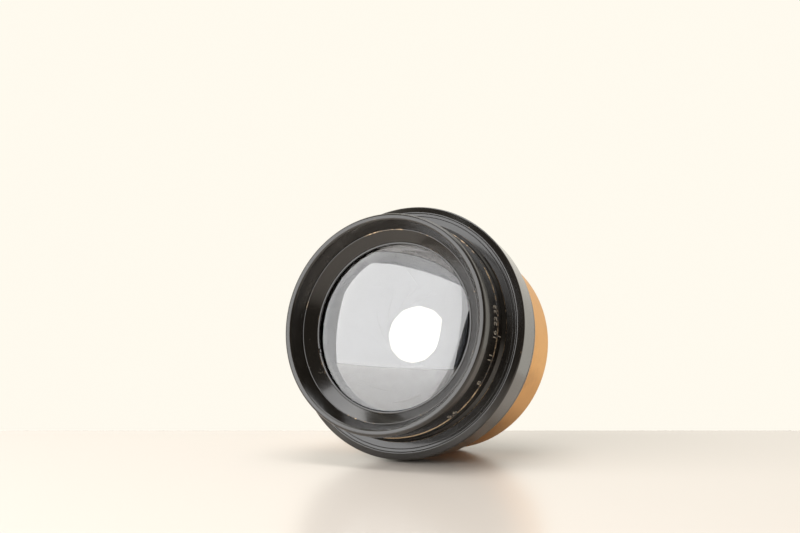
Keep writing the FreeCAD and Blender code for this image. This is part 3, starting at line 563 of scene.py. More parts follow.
def scratches_group():
    """Thin hairline scratches in all directions."""
    group, start, end = new_group("Hairlines", [("Amount", 1.0)], ["Scratch"])
    place = object_place(group)
    total = None
    for number in range(3):
        turn = group.nodes.new("ShaderNodeMapping")
        turn.inputs["Rotation"].default_value = (0.7 * number + 0.3, 1.1 * number, 0.9 * number + 0.5)
        turn.inputs["Scale"].default_value = (2600.0, 60.0, 90.0)
        group.links.new(place, turn.inputs["Vector"])
        line = smooth_range(group, noise(group, turn.outputs[0], 1.0, detail=1.0), 0.7, 0.78)
        total = line if total is None else calc(group, "MAXIMUM", total, line)
    patches = smooth_range(group, noise(group, place, 55.0, detail=2.0), 0.45, 0.65)
    masked = calc(group, "MULTIPLY", calc(group, "MULTIPLY", total, patches), start.outputs["Amount"])
    group.links.new(masked, end.inputs["Scratch"])
    return group


GROUP_MAKERS = {
    "Turning marks": turning_marks_group,
    "Edge wear": edge_wear_group,
    "Dust and smears": grime_group,
    "Hairlines": scratches_group,
}


def use_group(tree, name, **values):
    """Place a shader group, made the first time it is asked for."""
    node = tree.nodes.new("ShaderNodeGroup")
    node.node_tree = bpy.data.node_groups.get(name) or GROUP_MAKERS[name]()
    for label, value in values.items():
        put(value, node.inputs[label], tree.links)
    return node


# Materials


def new_material(name):
    """Material with an empty principled shader, as (material, tree, shader)."""
    material = bpy.data.materials.new(name)
    material.use_nodes = True
    tree = material.node_tree
    tree.nodes.clear()
    shader = tree.nodes.new("ShaderNodeBsdfPrincipled")
    output = tree.nodes.new("ShaderNodeOutputMaterial")
    tree.links.new(shader.outputs[0], output.inputs["Surface"])
    return material, tree, shader


def blend_colour(tree, share, first, second):
    node = tree.nodes.new("ShaderNodeMix")
    node.data_type = "RGBA"
    put(share, node.inputs["Factor"], tree.links)
    for value, socket in ((first, node.inputs["A"]), (second, node.inputs["B"])):
        put((*value, 1.0) if not isinstance(value, bpy.types.NodeSocket) else value, socket, tree.links)
    return node.outputs["Result"]


def set_bump(tree, shader, height, distance):
    bump = tree.nodes.new("ShaderNodeBump")
    bump.inputs["Distance"].default_value = distance
    put(height, bump.inputs["Height"], tree.links)
    tree.links.new(bump.outputs[0], shader.inputs["Normal"])


def tinted(colour, factor):
    return tuple(channel * factor for channel in colour)


def lacquer_material(name, wear, spots, roughness, fineness=1800.0):
    """Black lacquer over brass, rubbed bright at its edges, with hairlines and dust."""
    material, tree, shader = new_material(name)
    worn = use_group(tree, "Edge wear", Amount=wear, Spots=spots)
    marks = use_group(tree, "Turning marks", Fineness=fineness, Length=2.0).outputs["Marks"]
    dirt = use_group(tree, "Dust and smears", Smears=1.0, Specks=0.5)
    scratch = use_group(tree, "Hairlines", Amount=0.5).outputs["Scratch"]
    black = tuple(colours().lacquer)
    rubbed = blend_colour(tree, worn.outputs["Rubbed"], black, tinted(black, 1.7))
    dusty = blend_colour(tree, dirt.outputs["Speck"], rubbed, (0.2, 0.18, 0.15))
    lined = blend_colour(tree, calc(tree, "MULTIPLY", scratch, 0.6), dusty, (0.12, 0.11, 0.1))
    bare = worn.outputs["Bare"]
    worn_through = blend_colour(tree, bare, lined, tuple(colours().worn_brass))
    tree.links.new(worn_through, shader.inputs["Base Color"])
    tree.links.new(bare, shader.inputs["Metallic"])
    smear = calc(tree, "MULTIPLY_ADD", dirt.outputs["Smear"], 0.08, roughness)
    grain = calc(tree, "MULTIPLY_ADD", marks, 0.07, smear)
    tree.links.new(calc(tree, "MULTIPLY_ADD", bare, 0.12, grain), shader.inputs["Roughness"])
    shader.inputs["Specular IOR Level"].default_value = 0.65
    shader.inputs["Coat Roughness"].default_value = 0.06
    tree.links.new(calc(tree, "MULTIPLY_ADD", bare, -0.3, 0.3), shader.inputs["Coat Weight"])
    lowered = calc(tree, "MULTIPLY_ADD", bare, -1.0, calc(tree, "MULTIPLY", marks, 0.08))
    height = calc(tree, "SUBTRACT", lowered, calc(tree, "MULTIPLY", scratch, 0.5))
    set_bump(tree, shader, height, LACQUER_RELIEF)
    return material


def brass_material(name, colour, roughness, tarnish):
    """Bare brass brushed round the barrel, with brown stains."""
    material, tree, shader = new_material(name)
    marks = use_group(tree, "Turning marks", Fineness=3200.0, Length=1.6).outputs["Marks"]
    dirt = use_group(tree, "Dust and smears", Smears=1.0, Specks=0.4)
    scratch = use_group(tree, "Hairlines", Amount=0.6).outputs["Scratch"]
    place = object_place(tree)
    stain = smooth_range(tree, noise(tree, place, 48.0, detail=5.0, roughness=0.65), 0.5, 0.78)
    base = blend_colour(tree, marks, tinted(colour, 0.86), tinted(colour, 1.08))
    stained = blend_colour(tree, calc(tree, "MULTIPLY", stain, tarnish), base, (0.30, 0.15, 0.06))
    lined = blend_colour(tree, calc(tree, "MULTIPLY", scratch, 0.35), stained, (0.9, 0.62, 0.32))
    tree.links.new(lined, shader.inputs["Base Color"])
    shader.inputs["Metallic"].default_value = 1.0
    smear = calc(tree, "MULTIPLY_ADD", dirt.outputs["Smear"], 0.1, roughness)
    tree.links.new(calc(tree, "MULTIPLY_ADD", marks, 0.16, smear), shader.inputs["Roughness"])
    shader.inputs["Anisotropic"].default_value = 0.5
    set_bump(tree, shader, marks, BRUSHING_RELIEF)
    return material


def matt_material(name, colour, roughness):
    """Blackened metal inside the barrel, with a trace of turning."""
    material, tree, shader = new_material(name)
    marks = use_group(tree, "Turning marks", Fineness=1400.0, Length=2.0).outputs["Marks"]
    dirt = use_group(tree, "Dust and smears", Smears=0.6, Specks=0.6)
    shade = blend_colour(tree, marks, tinted(colour, 0.7), tinted(colour, 1.6))
    dusty = blend_colour(tree, dirt.outputs["Speck"], shade, (0.12, 0.11, 0.1))
    tree.links.new(dusty, shader.inputs["Base Color"])
    tree.links.new(calc(tree, "MULTIPLY_ADD", marks, 0.15, roughness), shader.inputs["Roughness"])
    set_bump(tree, shader, marks, MATT_RELIEF)
    return material


def steel_material(name, colour, roughness):
    """Darkened steel with hairlines."""
    material, tree, shader = new_material(name)
    dirt = use_group(tree, "Dust and smears", Smears=1.0, Specks=0.3)
    scratch = use_group(tree, "Hairlines", Amount=1.0).outputs["Scratch"]
    shade = blend_colour(tree, dirt.outputs["Smear"], colour, tinted(colour, 0.6))
    tree.links.new(blend_colour(tree, scratch, shade, tinted(colour, 2.2)), shader.inputs["Base Color"])
    shader.inputs["Metallic"].default_value = 1.0
    tree.links.new(
        calc(tree, "MULTIPLY_ADD", dirt.outputs["Smear"], 0.15, roughness), shader.inputs["Roughness"]
    )
    set_bump(tree, shader, scratch, -BRUSHING_RELIEF)
    return material


def glass_material(name, index):
    """Clear polished glass with a little dust on it."""
    material, tree, shader = new_material(name)
    dirt = use_group(tree, "Dust and smears", Smears=1.0, Specks=1.0)
    shader.inputs["Metallic"].default_value = 0.0
    shader.inputs["Transmission Weight"].default_value = 1.0
    shader.inputs["IOR"].default_value = index
    shader.inputs["Coat Weight"].default_value = 1.0
    shader.inputs["Coat Roughness"].default_value = 0.0
    shader.inputs["Coat IOR"].default_value = index
    tree.links.new(
        blend_colour(tree, dirt.outputs["Speck"], (1.0, 1.0, 1.0), (0.75, 0.74, 0.72)),
        shader.inputs["Base Color"],
    )
    tree.links.new(calc(tree, "MULTIPLY", dirt.outputs["Smear"], 0.012), shader.inputs["Roughness"])
    return material


def paint_material(name, colour):
    """Old paint in engraved lines, thin in places."""
    material, tree, shader = new_material(name)
    place = object_place(tree)
    thin = smooth_range(tree, noise(tree, place, 1500.0, detail=3.0), 0.38, 0.62)
    tree.links.new(blend_colour(tree, thin, tinted(colour, 0.55), colour), shader.inputs["Base Color"])
    tree.links.new(calc(tree, "MULTIPLY_ADD", thin, 0.2, 0.5), shader.inputs["Roughness"])
    set_bump(tree, shader, thin, BRUSHING_RELIEF)
    return material


def floor_material(name, colour):
    """Pale smooth table top."""
    material, tree, shader = new_material(name)
    place = object_place(tree)
    cloud = noise(tree, place, 3.0, detail=2.0)
    tree.links.new(blend_colour(tree, cloud, tinted(colour, 0.985), colour), shader.inputs["Base Color"])
    tree.links.new(calc(tree, "MULTIPLY_ADD", cloud, 0.04, 0.2), shader.inputs["Roughness"])
    shader.inputs["Specular IOR Level"].default_value = 0.35
    return material


# Pieces


class LENS_OT_housing(bpy.types.Operator):
    """Build the large black housing, its face plate with the hub, and its rear plate"""

    bl_idname = "lens.housing"
    bl_label = "Housing"

    def execute(self, context):
        side = lacquer_material("housing_lacquer", -0.05, 0.5, 0.13)
        face = lacquer_material("face_lacquer", -0.12, 0.25, 0.15)
        dress(housing_ring(), side, ROOT, "black_lacquer", "main_housing")
        dress(face_plate(), face, ROOT, "black_lacquer", "face_plate")
        dress(rear_plate(), side, ROOT, "black_lacquer", "rear_plate")
        return {"FINISHED"}


def housing_ring():
    s = sizes()
    front = front_of("main_housing")
    rear = rear_of("main_housing")
    step = front + s.face_thickness
    bore = s.face_radius + PIECE_GAP
    ring = turned(
        "housing_ring",
        [
            (s.pocket_radius, step),
            (bore, step),
            (bore, front, FINE_EDGE),
            (bore + s.housing_land, front, SMALL_EDGE),
            (s.housing_front_radius, front + s.housing_slope, s.housing_front_bevel),
            (s.housing_rear_radius, rear, EASY_EDGE),
            (s.pocket_radius, rear),
        ],
    )
    screws = ("face_grub_screw", "rear_grub_screw")
    inner = s.pocket_radius - CUT_MARGIN
    outer = s.housing_front_radius + CUT_MARGIN
    holes = [hole_for(node, GRUB_HOLE_RADIUS, inner, outer) for node in screws]
    return cut_with(ring, holes)


def face_plate():
    s = sizes()
    face = front_of("main_housing")
    hub_front = front_of("face_plate")
    half = s.face_groove_size / 2
    return turned(
        "face_and_hub",
        [
            (s.hub_bore, hub_front),
            (s.hub_radius, hub_front, EASY_EDGE),
            (s.hub_radius, face),
            (s.face_groove_radius - half, face, HAIR_EDGE),
            (s.face_groove_radius, face + s.face_groove_size),
            (s.face_groove_radius + half, face, HAIR_EDGE),
            (s.face_radius, face, EASY_EDGE),
            (s.face_radius, face + s.face_thickness),
            (s.hub_bore, face + s.face_thickness),
        ],
    )


def rear_plate():
    s = sizes()
    radius = outer_radius("rear_plate")
    spigot_front = front_of("rear_plate")
    spigot = s.pocket_radius - PIECE_GAP
    barrel = outer_radius("brass_barrel") + PIECE_GAP
    plate = turned(
        "board_seat_plate",
        [
            (barrel, 0),
            (barrel, -s.barrel_seat),
            (s.barrel_spigot + PIECE_GAP, -s.barrel_seat),
            (s.barrel_spigot + PIECE_GAP, -s.plate_thickness),
            (spigot - PLATE_SPIGOT_WALL, -s.plate_thickness),
            (spigot - PLATE_SPIGOT_WALL, spigot_front),
            (spigot, spigot_front),
            (spigot, -s.plate_thickness),
            (radius, -s.plate_thickness, SHARP_EDGE),
            (radius, 0, EASY_EDGE),
        ],
    )
    middle = (radius + outer_radius("brass_barrel")) / 2
    holes = []
    for angle in (math.pi / 2, -math.pi / 2):
        bottom = around(middle, -WRENCH_HOLE_DEPTH, angle)
        mouth = around(middle, WRENCH_HOLE_DEPTH, angle)
        holes.append(rod(WRENCH_HOLE_RADIUS, bottom, mouth))
    return cut_with(plate, holes)


class LENS_OT_collar(bpy.types.Operator):
    """Build the fixed collar at the root of the neck, with its index line"""

    bl_idname = "lens.collar"
    bl_label = "Index collar"

    def execute(self, context):
        lacquer = lacquer_material("collar_lacquer", 0.1, 0.3, 0.15)
        dress(index_collar(), lacquer, ROOT, "black_lacquer", "index_collar")
        paint = paint_material("index_paint", tuple(colours().paint))
        dress(index_line(), paint, ROOT, "black_lacquer")
        return {"FINISHED"}


def index_collar():
    s = sizes()
    front = front_of("index_collar")
    rear = rear_of("index_collar")
    bore = s.hub_radius + PIECE_GAP
    collar = turned(
        "neck_collar",
        [
            (bore, rear),
            (bore, front),
            (s.collar_neck_radius, front, EASY_EDGE),
            (s.collar_neck_radius, rear - s.collar_foot_height * 2),
            (s.collar_foot_radius, rear - s.collar_foot_height / 2, CRISP_EDGE),
            (s.collar_foot_radius, rear),
        ],
    )
    inner = s.hub_radius - CUT_MARGIN
    outer = s.collar_foot_radius + CUT_MARGIN
    return cut_with(collar, [hole_for("collar_grub_screw", GRUB_HOLE_RADIUS, inner, outer)])


def index_line():
    """Short painted line on the collar that points at the numbers."""
    s = sizes()
    front = front_of("index_collar") + s.index_inset
    rear = front + s.index_length
    half = s.index_width / 2
    radius = s.collar_neck_radius + s.paint_thickness
    corners = [(-half, front), (half, front), (half, rear), (-half, rear)]
    points = []
    for depth in (radius, radius - PAINT_DEPTH):
        points += [around(depth, y, s.index_angle + across / radius) for across, y in corners]
    faces = [(0, 1, 2, 3), (7, 6, 5, 4)]
    faces += [(i, (i + 1) % 4, (i + 1) % 4 + 4, i + 4) for i in range(4)]
    mesh = bpy.data.meshes.new("index_line")
    mesh.from_pydata(points, [], faces)
    piece = bpy.data.objects.new("index_line", mesh)
    bpy.context.scene.collection.objects.link(piece)
    return piece


class LENS_OT_aperture_ring(bpy.types.Operator):
    """Build the neck and rim that turn, with the aperture numbers"""

    bl_idname = "lens.aperture_ring"
    bl_label = "Aperture ring"

    def execute(self, context):
        lacquer = lacquer_material("ring_lacquer", -0.1, 0.35, 0.13)
        dress(aperture_ring(), lacquer, CONTROL, "black_lacquer", "aperture_ring")
        paint = paint_material("number_paint", tuple(colours().paint))
        for label in APERTURE_NUMBERS:
            dress(aperture_number(label), paint, CONTROL, "black_lacquer")
        return {"FINISHED"}


def aperture_ring():
    s = sizes()
    front = front_of("aperture_ring")
    rear = rear_of("aperture_ring")
    bore = s.hub_radius + TURNING_GAP
    step = front_of("face_plate") - s.ring_gap
    shelf = step - s.shelf_thickness
    rim_rear = front + s.rim_length
    ring = turned(
        "aperture_rim_and_neck",
        [
            (bore, rear),
            (bore, step),
            (s.shelf_radius, step),
            (s.shelf_radius, shelf, CRISP_EDGE),
            (s.rim_mouth_radius, front, s.rim_mouth_round),
            (s.rim_radius, front, s.rim_round),
            (s.rim_radius, rim_rear, SMALL_EDGE),
            (s.neck_radius, rim_rear + s.rim_radius - s.neck_radius),
            (s.neck_radius, rear, EASY_EDGE),
        ],
    )
    outside = s.neck_radius + 2 * CUT_MARGIN
    head = hole_for("stop_screw", STOP_HEAD_HOLE_RADIUS, s.neck_radius - STOP_HEAD_DEPTH, outside)
    shank = hole_for("stop_screw", STOP_SHANK_HOLE_RADIUS, bore - CUT_MARGIN, outside)
    return cut_with(ring, [head, shank])


def aperture_angle(number):
    """Where a number stands on the ring at rest, so that the index reads the iris opening."""
    s = sizes()
    turn, leaf = frame["joints"][0], frame["joints"][1]
    pivot = Vector(leaf["pos_m"])
    pivot.y = 0
    opening = s.leaf_open_radius * float(APERTURE_NUMBERS[0]) / number
    swing = 2 * math.asin((s.leaf_open_radius - opening) / (2 * pivot.length))
    ratio = frame["record"]["behaviour"]["couplings"][0]["ratio"]
    to_open = -math.radians(turn["range_deg"][0])
    return s.index_angle + to_open - swing / ratio


def aperture_number(label):
    """One engraved number, bent round the neck with its foot towards the collar."""
    s = sizes()
    curve = bpy.data.curves.new("number", "FONT")
    curve.body = label
    curve.size = s.number_height * 1.42
    curve.align_x = "CENTER"
    curve.extrude = 0
    curve.offset = NUMBER_BOLDNESS
    source = bpy.data.objects.new("number", curve)
    bpy.context.scene.collection.objects.link(source)
    graph = bpy.context.evaluated_depsgraph_get()
    mesh = bpy.data.meshes.new_from_object(source.evaluated_get(graph))
    bpy.data.objects.remove(source)
    made = bmesh.new()
    made.from_mesh(mesh)
    bmesh.ops.remove_doubles(made, verts=made.verts, dist=1e-6)
    sheet = list(made.faces)
    raised = bmesh.ops.extrude_face_region(made, geom=sheet)
    lifted = [part for part in raised["geom"] if isinstance(part, bmesh.types.BMVert)]
    bmesh.ops.translate(made, vec=(0, 0, 1), verts=lifted)
    angle = aperture_angle(float(label))
    foot = rear_of("aperture_ring") - s.number_lift
    for vertex in made.verts:
        radius = s.neck_radius + (s.paint_thickness if vertex.co.z > 0.5 else -PAINT_DEPTH)
        vertex.co = around(radius, foot - vertex.co.y, angle - vertex.co.x / s.neck_radius)
    bmesh.ops.recalc_face_normals(made, faces=made.faces)
    made.to_mesh(mesh)
    made.free()
    piece = bpy.data.objects.new("aperture_number_" + label, mesh)
    bpy.context.scene.collection.objects.link(piece)
    return piece


class LENS_OT_front_cell(bpy.types.Operator):
    """Build the dished front cell and the slotted ring that holds the front glass"""

    bl_idname = "lens.front_cell"
    bl_label = "Front cell"

    def execute(self, context):
        lacquer = lacquer_material("cell_lacquer", 0.0, 0.2, 0.15)
        bright = lacquer_material("retainer_lacquer", -0.08, 0.2, 0.15)
        dress(front_cell(), lacquer, ROOT, "black_lacquer", "front_cell")
        dress(front_retainer(), bright, ROOT, "black_lacquer", "front_retaining_ring")
        return {"FINISHED"}


def front_cell():
    s = sizes()
    front = front_of("front_cell")
    rear = rear_of("front_cell")
    radius = outer_radius("front_cell")
    seat = rear_of("front_glass")
    tube = s.hub_bore - PIECE_GAP
    return turned(
        "dished_cell",
        [
            (s.cell_bore, front + s.cone_depth, FINE_EDGE),
            (radius - CELL_LAND, front, FINE_EDGE),
            (radius, front, SHARP_EDGE),
            (radius, front + s.cell_flange),
            (tube, front + s.cell_flange),
            (tube, rear),
            (s.glass_clear_radius - GLASS_SEAT_STEP, rear),
            (s.glass_clear_radius - GLASS_SEAT_STEP, seat),
            (s.cell_bore, seat),
        ],
    )


def front_retainer():
    s = sizes()
    front = front_of("front_retaining_ring")
    rear = rear_of("front_retaining_ring")
    outer = outer_radius("front_retaining_ring")
    ring = turned(
        "front_slotted_ring",
        [
            (s.glass_clear_radius, front, CRISP_EDGE),
            (outer, front, CRISP_EDGE),
            (outer, rear),
            (s.glass_clear_radius, rear),
        ],
    )
    return cut_with(ring, spanner_slots(outer, front, (69, 252), s.slot_depth))


def spanner_slots(radius, face, degrees, depth):
    s = sizes()
    size = (s.slot_width, depth * 2, SLOT_REACH)
    centre = (0, face, radius - SLOT_INSET)
    return [block(size, centre, math.radians(turn)) for turn in degrees]


class LENS_OT_glasses(bpy.types.Operator):
    """Build the three glasses with ground edges"""

    bl_idname = "lens.glasses"
    bl_label = "Glasses"

    def execute(self, context):
        crown = glass_material("crown_glass", 1.61)
        flint = glass_material("flint_glass", 1.65)
        for place, glass in (("front", crown), ("middle", flint), ("rear", crown)):
            node = place + "_glass"
            dress(element(place + "_element", node), glass, ROOT, "optical_glass", node)
        return {"FINISHED"}


def element(name, node):
    """Glass turned from its CAD node's edge and vertices. A flat rear has no vertex of its own."""
    points = node_points(node)
    across = np.hypot(points[:, 0], points[:, 2])
    radius = float(across.max())
    rim = points[across > radius - RIM_TOLERANCE][:, 1]
    axis = points[across < AXIS_TOLERANCE][:, 1]
    middle = (rim.min() + rim.max()) / 2
    edge_front, edge_rear = float(rim.min()), float(rim.max())
    front = dome_points(float(axis[axis < middle].min()), edge_front, radius)
    rear = dome_points(float(axis[axis > middle].max(initial=edge_rear)), edge_rear, radius)
    section = [(r, y, 0.0) for r, y in front]
    section += [(radius, edge_front + GLASS_EDGE, 0.0), (radius, edge_rear - GLASS_EDGE, 0.0)]
    section += [(r, y, 0.0) for r, y in reversed(rear)]
    return revolve(name, section, closed=False)


class LENS_OT_barrel(bpy.types.Operator):
    """Build the satin brass barrel"""

    bl_idname = "lens.barrel"
    bl_label = "Brass barrel"

    def execute(self, context):
        brass = brass_material("barrel_brass", tuple(colours().brass), 0.24, 0.35)
        dress(brass_barrel(), brass, ROOT, "satin_brass", "brass_barrel")
        return {"FINISHED"}


def brass_barrel():
    s = sizes()
    radius = outer_radius("brass_barrel")
    front = front_of("brass_barrel")
    rear = rear_of("brass_barrel")
    step = rear_of("middle_cell")
    return turned(
        "satin_barrel",
        [
            (s.barrel_bore, front),
            (s.barrel_spigot, front),
            (s.barrel_spigot, -s.barrel_seat),
            (radius - s.barrel_relief, -s.barrel_seat),
            (radius - s.barrel_relief, 0),
            (radius, 0),
            (radius, rear, BROAD_EDGE),
            (s.barrel_rear_bore, rear, SHARP_EDGE),
            (s.barrel_rear_bore, step),
            (s.barrel_bore, step),
        ],
    )


class LENS_OT_rear_cell(bpy.types.Operator):
    """Build the rear cell and the slotted ring that holds the rear glass"""

    bl_idname = "lens.rear_cell"
    bl_label = "Rear cell"

    def execute(self, context):
        lacquer = lacquer_material("rear_cell_lacquer", 0.0, 0.35, 0.2)
        dress(rear_cell(), lacquer, ROOT, "black_lacquer", "rear_cell")
        dress(rear_retainer(), lacquer, ROOT, "black_lacquer", "rear_retaining_ring")
        return {"FINISHED"}


def rear_cell():
    s = sizes()
    front = front_of("rear_cell")
    rear = rear_of("rear_cell")
    flange = outer_radius("rear_cell")
    barrel_end = rear_of("brass_barrel")
    retainer_rear = rear_of("rear_retaining_ring")
    bore = outer_radius("rear_glass") + PIECE_GAP
    seat = node_edge_front("rear_glass") - SEAT_GAP
    thread = s.barrel_rear_bore - PIECE_GAP
    return turned(
        "rear_cell_tube",
        [
            (s.rear_clear_radius, front),
            (thread, front),
            (thread, barrel_end),
            (flange, barrel_end, CRISP_EDGE),
            (flange, barrel_end + s.rear_flange, BROAD_EDGE),
            (s.rear_tail_radius, barrel_end + s.rear_flange),
            (s.rear_tail_radius, rear, BROAD_EDGE),
            (s.rear_tail_radius - s.rear_lip, rear, SMALL_EDGE),
            (bore, retainer_rear, SHARP_EDGE),
            (bore, seat),
            (s.rear_clear_radius, seat),
        ],
    )


def node_edge_front(node):
    """Front of a glass at its rim."""
    points = node_points(node)
    across = np.hypot(points[:, 0], points[:, 2])
    return float(points[across > across.max() - RIM_TOLERANCE][:, 1].min())


def rear_retainer():
    s = sizes()
    front = front_of("rear_retaining_ring")
    rear = rear_of("rear_retaining_ring")
    outer = outer_radius("rear_retaining_ring")
    ring = turned(
        "rear_slotted_ring",
        [
            (s.rear_clear_radius, front),
            (outer, front),
            (outer, rear, FINE_EDGE),
            (s.rear_clear_radius, rear, FINE_EDGE),
        ],
    )
    return cut_with(ring, spanner_slots(outer, rear, (0, 180), s.slot_depth * 2))


class LENS_OT_inside(bpy.types.Operator):
    """Finish the iris, the cam ring and the blackened parts inside the barrel"""

    bl_idname = "lens.inside"
    bl_label = "Iris and inside"

    def execute(self, context):
        matt = matt_material("inside_black", tuple(colours().matt), 0.55)
        leaf = steel_material("leaf_steel", tuple(colours().leaf), 0.42)
        screw = steel_material("screw_steel", tuple(colours().steel), 0.3)
        for part in frame["record"]["subparts"]:
            node, slot = part["node"], part["material_slot"]
            if slot == "matt_black":
                finish_node(node, matt)
            elif slot == "leaf_steel":
                finish_node(node, leaf)
            elif slot == "screw_steel":
                finish_node(node, screw)
        return {"FINISHED"}


# Stage


def resting_pitch():
    """Angle at which the lens lies on the housing's rear edge and the barrel's rear edge."""
    housing = node_points("main_housing")[:, 1:]
    barrel = node_points("brass_barrel")[:, 1:]
    low, high = 0.0, math.radians(30)
    for _ in range(40):
        middle = (low + high) / 2
        up = np.array((-math.sin(middle), math.cos(middle)))
        if (housing @ up).min() < (barrel @ up).min():
            low = middle
        else:
            high = middle
    height = float((housing @ np.array((-math.sin(low), math.cos(low)))).min())
    return low, height


class LENS_OT_stage(bpy.types.Operator):
    """Lay out the pale table, the background, the softboxes and the camera"""

    bl_idname = "lens.stage"
    bl_label = "Studio stage"

    def execute(self, context):
        pitch, height = resting_pitch()
        up = Vector((0, -math.sin(pitch), math.cos(pitch)))
        rearward = Vector((0, math.cos(pitch), math.sin(pitch)))
        aim_point = Vector((0, front_of("main_housing"), 0))
        view = camera_axes(up, rearward)
        lay_floor(aim_point, view, height)
        place_camera(context, aim_point, view)
        place_lights(aim_point, view)
        set_world(view[2])
        context.scene.view_settings.view_transform = "Standard"
        return {"FINISHED"}


def lay_floor(target, view, height):
    """Pale table under the two edges that the lens rests on, with its far edge behind the lens."""
    s = stage_settings()
    right, up, forward = view
    foot = target + up * (height - target.dot(up))
    far = foot + forward * s.table_behind
    near = foot - forward * s.table_size
    corners = [far - right * s.table_size, far + right * s.table_size]
    corners += [near + right * s.table_size, near - right * s.table_size]
    below = [corner - up * s.table_thickness for corner in corners]
    mesh = bpy.data.meshes.new("table_top")
    made = bmesh.new()
    top = [made.verts.new(corner) for corner in corners]
    base = [made.verts.new(corner) for corner in below]
    made.faces.new(top)
    made.faces.new(list(reversed(base)))
    for number in range(len(top)):
        following = (number + 1) % len(top)
        made.faces.new((top[number], base[number], base[following], top[following]))
    bmesh.ops.recalc_face_normals(made, faces=made.faces)
    made.to_mesh(mesh)
    made.free()
    floor = bpy.data.objects.new("table_top", mesh)
    bpy.context.scene.collection.objects.link(floor)
    mesh.materials.append(floor_material("table_finish", tuple(colours().floor)))


def camera_axes(up, rearward):
    """Right, up and forward of the level camera, in the lens's own frame."""
    yaw = stage_settings().camera_yaw
    across = Vector((1, 0, 0))
    right = across * math.cos(yaw) + rearward * math.sin(yaw)
    forward = rearward * math.cos(yaw) - across * math.sin(yaw)
    return right, up, forward


def place_camera(context, target, view):
    s = stage_settings()
    right, up, forward = view
    data = bpy.data.cameras.new("photo_camera")
    data.lens = s.focal_length
    data.sensor_width = 36.0
    data.clip_start = 0.01
    camera = bpy.data.objects.new("photo_camera", data)
    bpy.context.scene.collection.objects.link(camera)
    place = target - right * s.camera_right + up * s.camera_down - forward * s.camera_distance
    turn = Matrix((right, up, -forward)).transposed().to_4x4()
    camera.matrix_world = Matrix.Translation(place) @ turn
    context.scene.camera = camera


def softbox(name, target, direction, side, size, distance, power):
    """Rectangular lamp at a distance in one direction, with its width along the side given."""
    data = bpy.data.lights.new(name, "AREA")
    data.shape = "RECTANGLE"
    data.size, data.size_y = size
    data.energy = power
    lamp = bpy.data.objects.new(name, data)
    bpy.context.scene.collection.objects.link(lamp)
    back = direction.normalized()
    tall = back.cross(side).normalized()
    turn = Matrix((tall.cross(back), tall, back)).transposed().to_4x4()
    lamp.matrix_world = Matrix.Translation(target + back * distance) @ turn


def place_lights(target, view):
    """Large softbox at the camera's left and a smaller one above the lens."""
    s = stage_settings()
    right, up, forward = view
    level = -forward * math.cos(s.key_azimuth) - right * math.sin(s.key_azimuth)
    key = level * math.cos(s.key_elevation) + up * math.sin(s.key_elevation)
    size = (s.key_width, s.key_height)
    softbox("key_softbox", target, key, up.cross(level), size, s.key_distance, s.key_power)
    size = (s.top_size, s.top_size)
    softbox("top_softbox", target, up, right, size, s.top_distance, s.top_power)


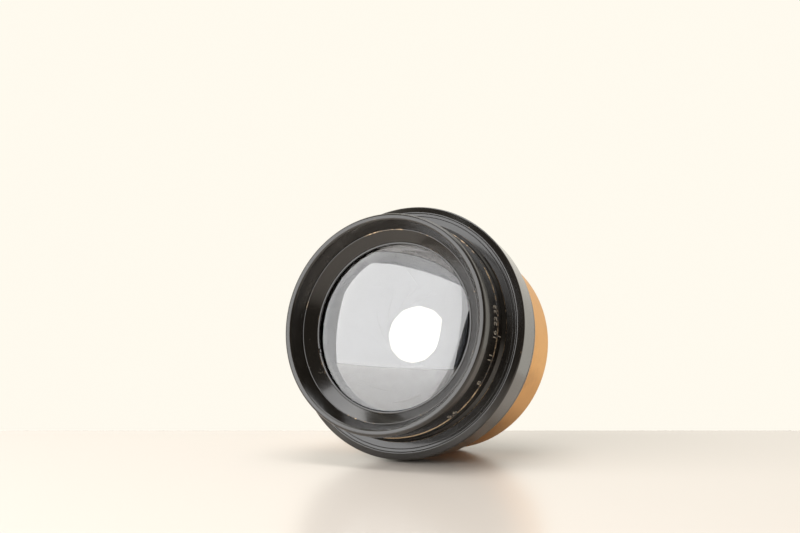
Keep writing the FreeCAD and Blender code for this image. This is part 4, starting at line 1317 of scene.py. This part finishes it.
def set_world(forward):
    """Pale background behind the lens, and a dim room towards the camera."""
    world = bpy.data.worlds.new("room")
    bpy.context.scene.world = world
    world.use_nodes = True
    tree = world.node_tree
    tree.nodes.clear()
    output = tree.nodes.new("ShaderNodeOutputWorld")
    light = tree.nodes.new("ShaderNodeBackground")
    path = tree.nodes.new("ShaderNodeLightPath")
    settings = stage_settings()
    facing = tree.nodes.new("ShaderNodeVectorMath")
    facing.operation = "DOT_PRODUCT"
    tree.links.new(tree.nodes.new("ShaderNodeTexCoord").outputs["Generated"], facing.inputs[0])
    facing.inputs[1].default_value = forward
    behind = smooth_range(tree, facing.outputs["Value"], -0.1, 0.25)
    mirrored = calc(tree, "MAXIMUM", path.outputs["Is Glossy Ray"], path.outputs["Is Transmission Ray"])
    room = calc(tree, "MULTIPLY_ADD", behind, 1.0 - settings.room_level, settings.room_level)
    seen = calc(tree, "MAXIMUM", path.outputs["Is Camera Ray"], calc(tree, "MULTIPLY", mirrored, room))
    diffuse = calc(tree, "SUBTRACT", 1.0, calc(tree, "MAXIMUM", path.outputs["Is Camera Ray"], mirrored))
    strength = calc(tree, "MULTIPLY_ADD", diffuse, settings.world_strength, seen)
    light.inputs["Color"].default_value = (*colours().backdrop, 1.0)
    tree.links.new(strength, light.inputs["Strength"])
    tree.links.new(light.outputs[0], output.inputs["Surface"])


class LENS_PT_panel(bpy.types.Panel):
    """Sidebar panel that lists the pieces"""

    bl_idname = "LENS_PT_panel"
    bl_label = "Portrait Lens"
    bl_space_type = "VIEW_3D"
    bl_region_type = "UI"
    bl_category = "Portrait Lens"

    def draw(self, context):
        for step in STEPS:
            self.layout.operator(step.bl_idname)
        for settings in (context.scene.lens_sizes, context.scene.lens_colours, context.scene.lens_stage):
            for name in settings.bl_rna.properties.keys():
                if name not in ("rna_type", "name"):
                    self.layout.prop(settings, name)


STEPS = (
    LENS_OT_stage,
    LENS_OT_housing,
    LENS_OT_collar,
    LENS_OT_aperture_ring,
    LENS_OT_front_cell,
    LENS_OT_glasses,
    LENS_OT_barrel,
    LENS_OT_rear_cell,
    LENS_OT_inside,
)
SETTINGS = {"lens_sizes": LensSizes, "lens_colours": LensColours, "lens_stage": StageSettings}


def register():
    for settings in SETTINGS.values():
        bpy.utils.register_class(settings)
    for name, settings in SETTINGS.items():
        setattr(bpy.types.Scene, name, bpy.props.PointerProperty(type=settings))
    for step in STEPS:
        bpy.utils.register_class(step)
    bpy.utils.register_class(LENS_PT_panel)


def unregister():
    bpy.utils.unregister_class(LENS_PT_panel)
    for step in reversed(STEPS):
        bpy.utils.unregister_class(step)
    for name, settings in SETTINGS.items():
        delattr(bpy.types.Scene, name)
        bpy.utils.unregister_class(settings)


def main():
    register()
    for step in STEPS:
        group, name = step.bl_idname.split(".")
        getattr(getattr(bpy.ops, group), name)()


if __name__ == "__main__":
    main()
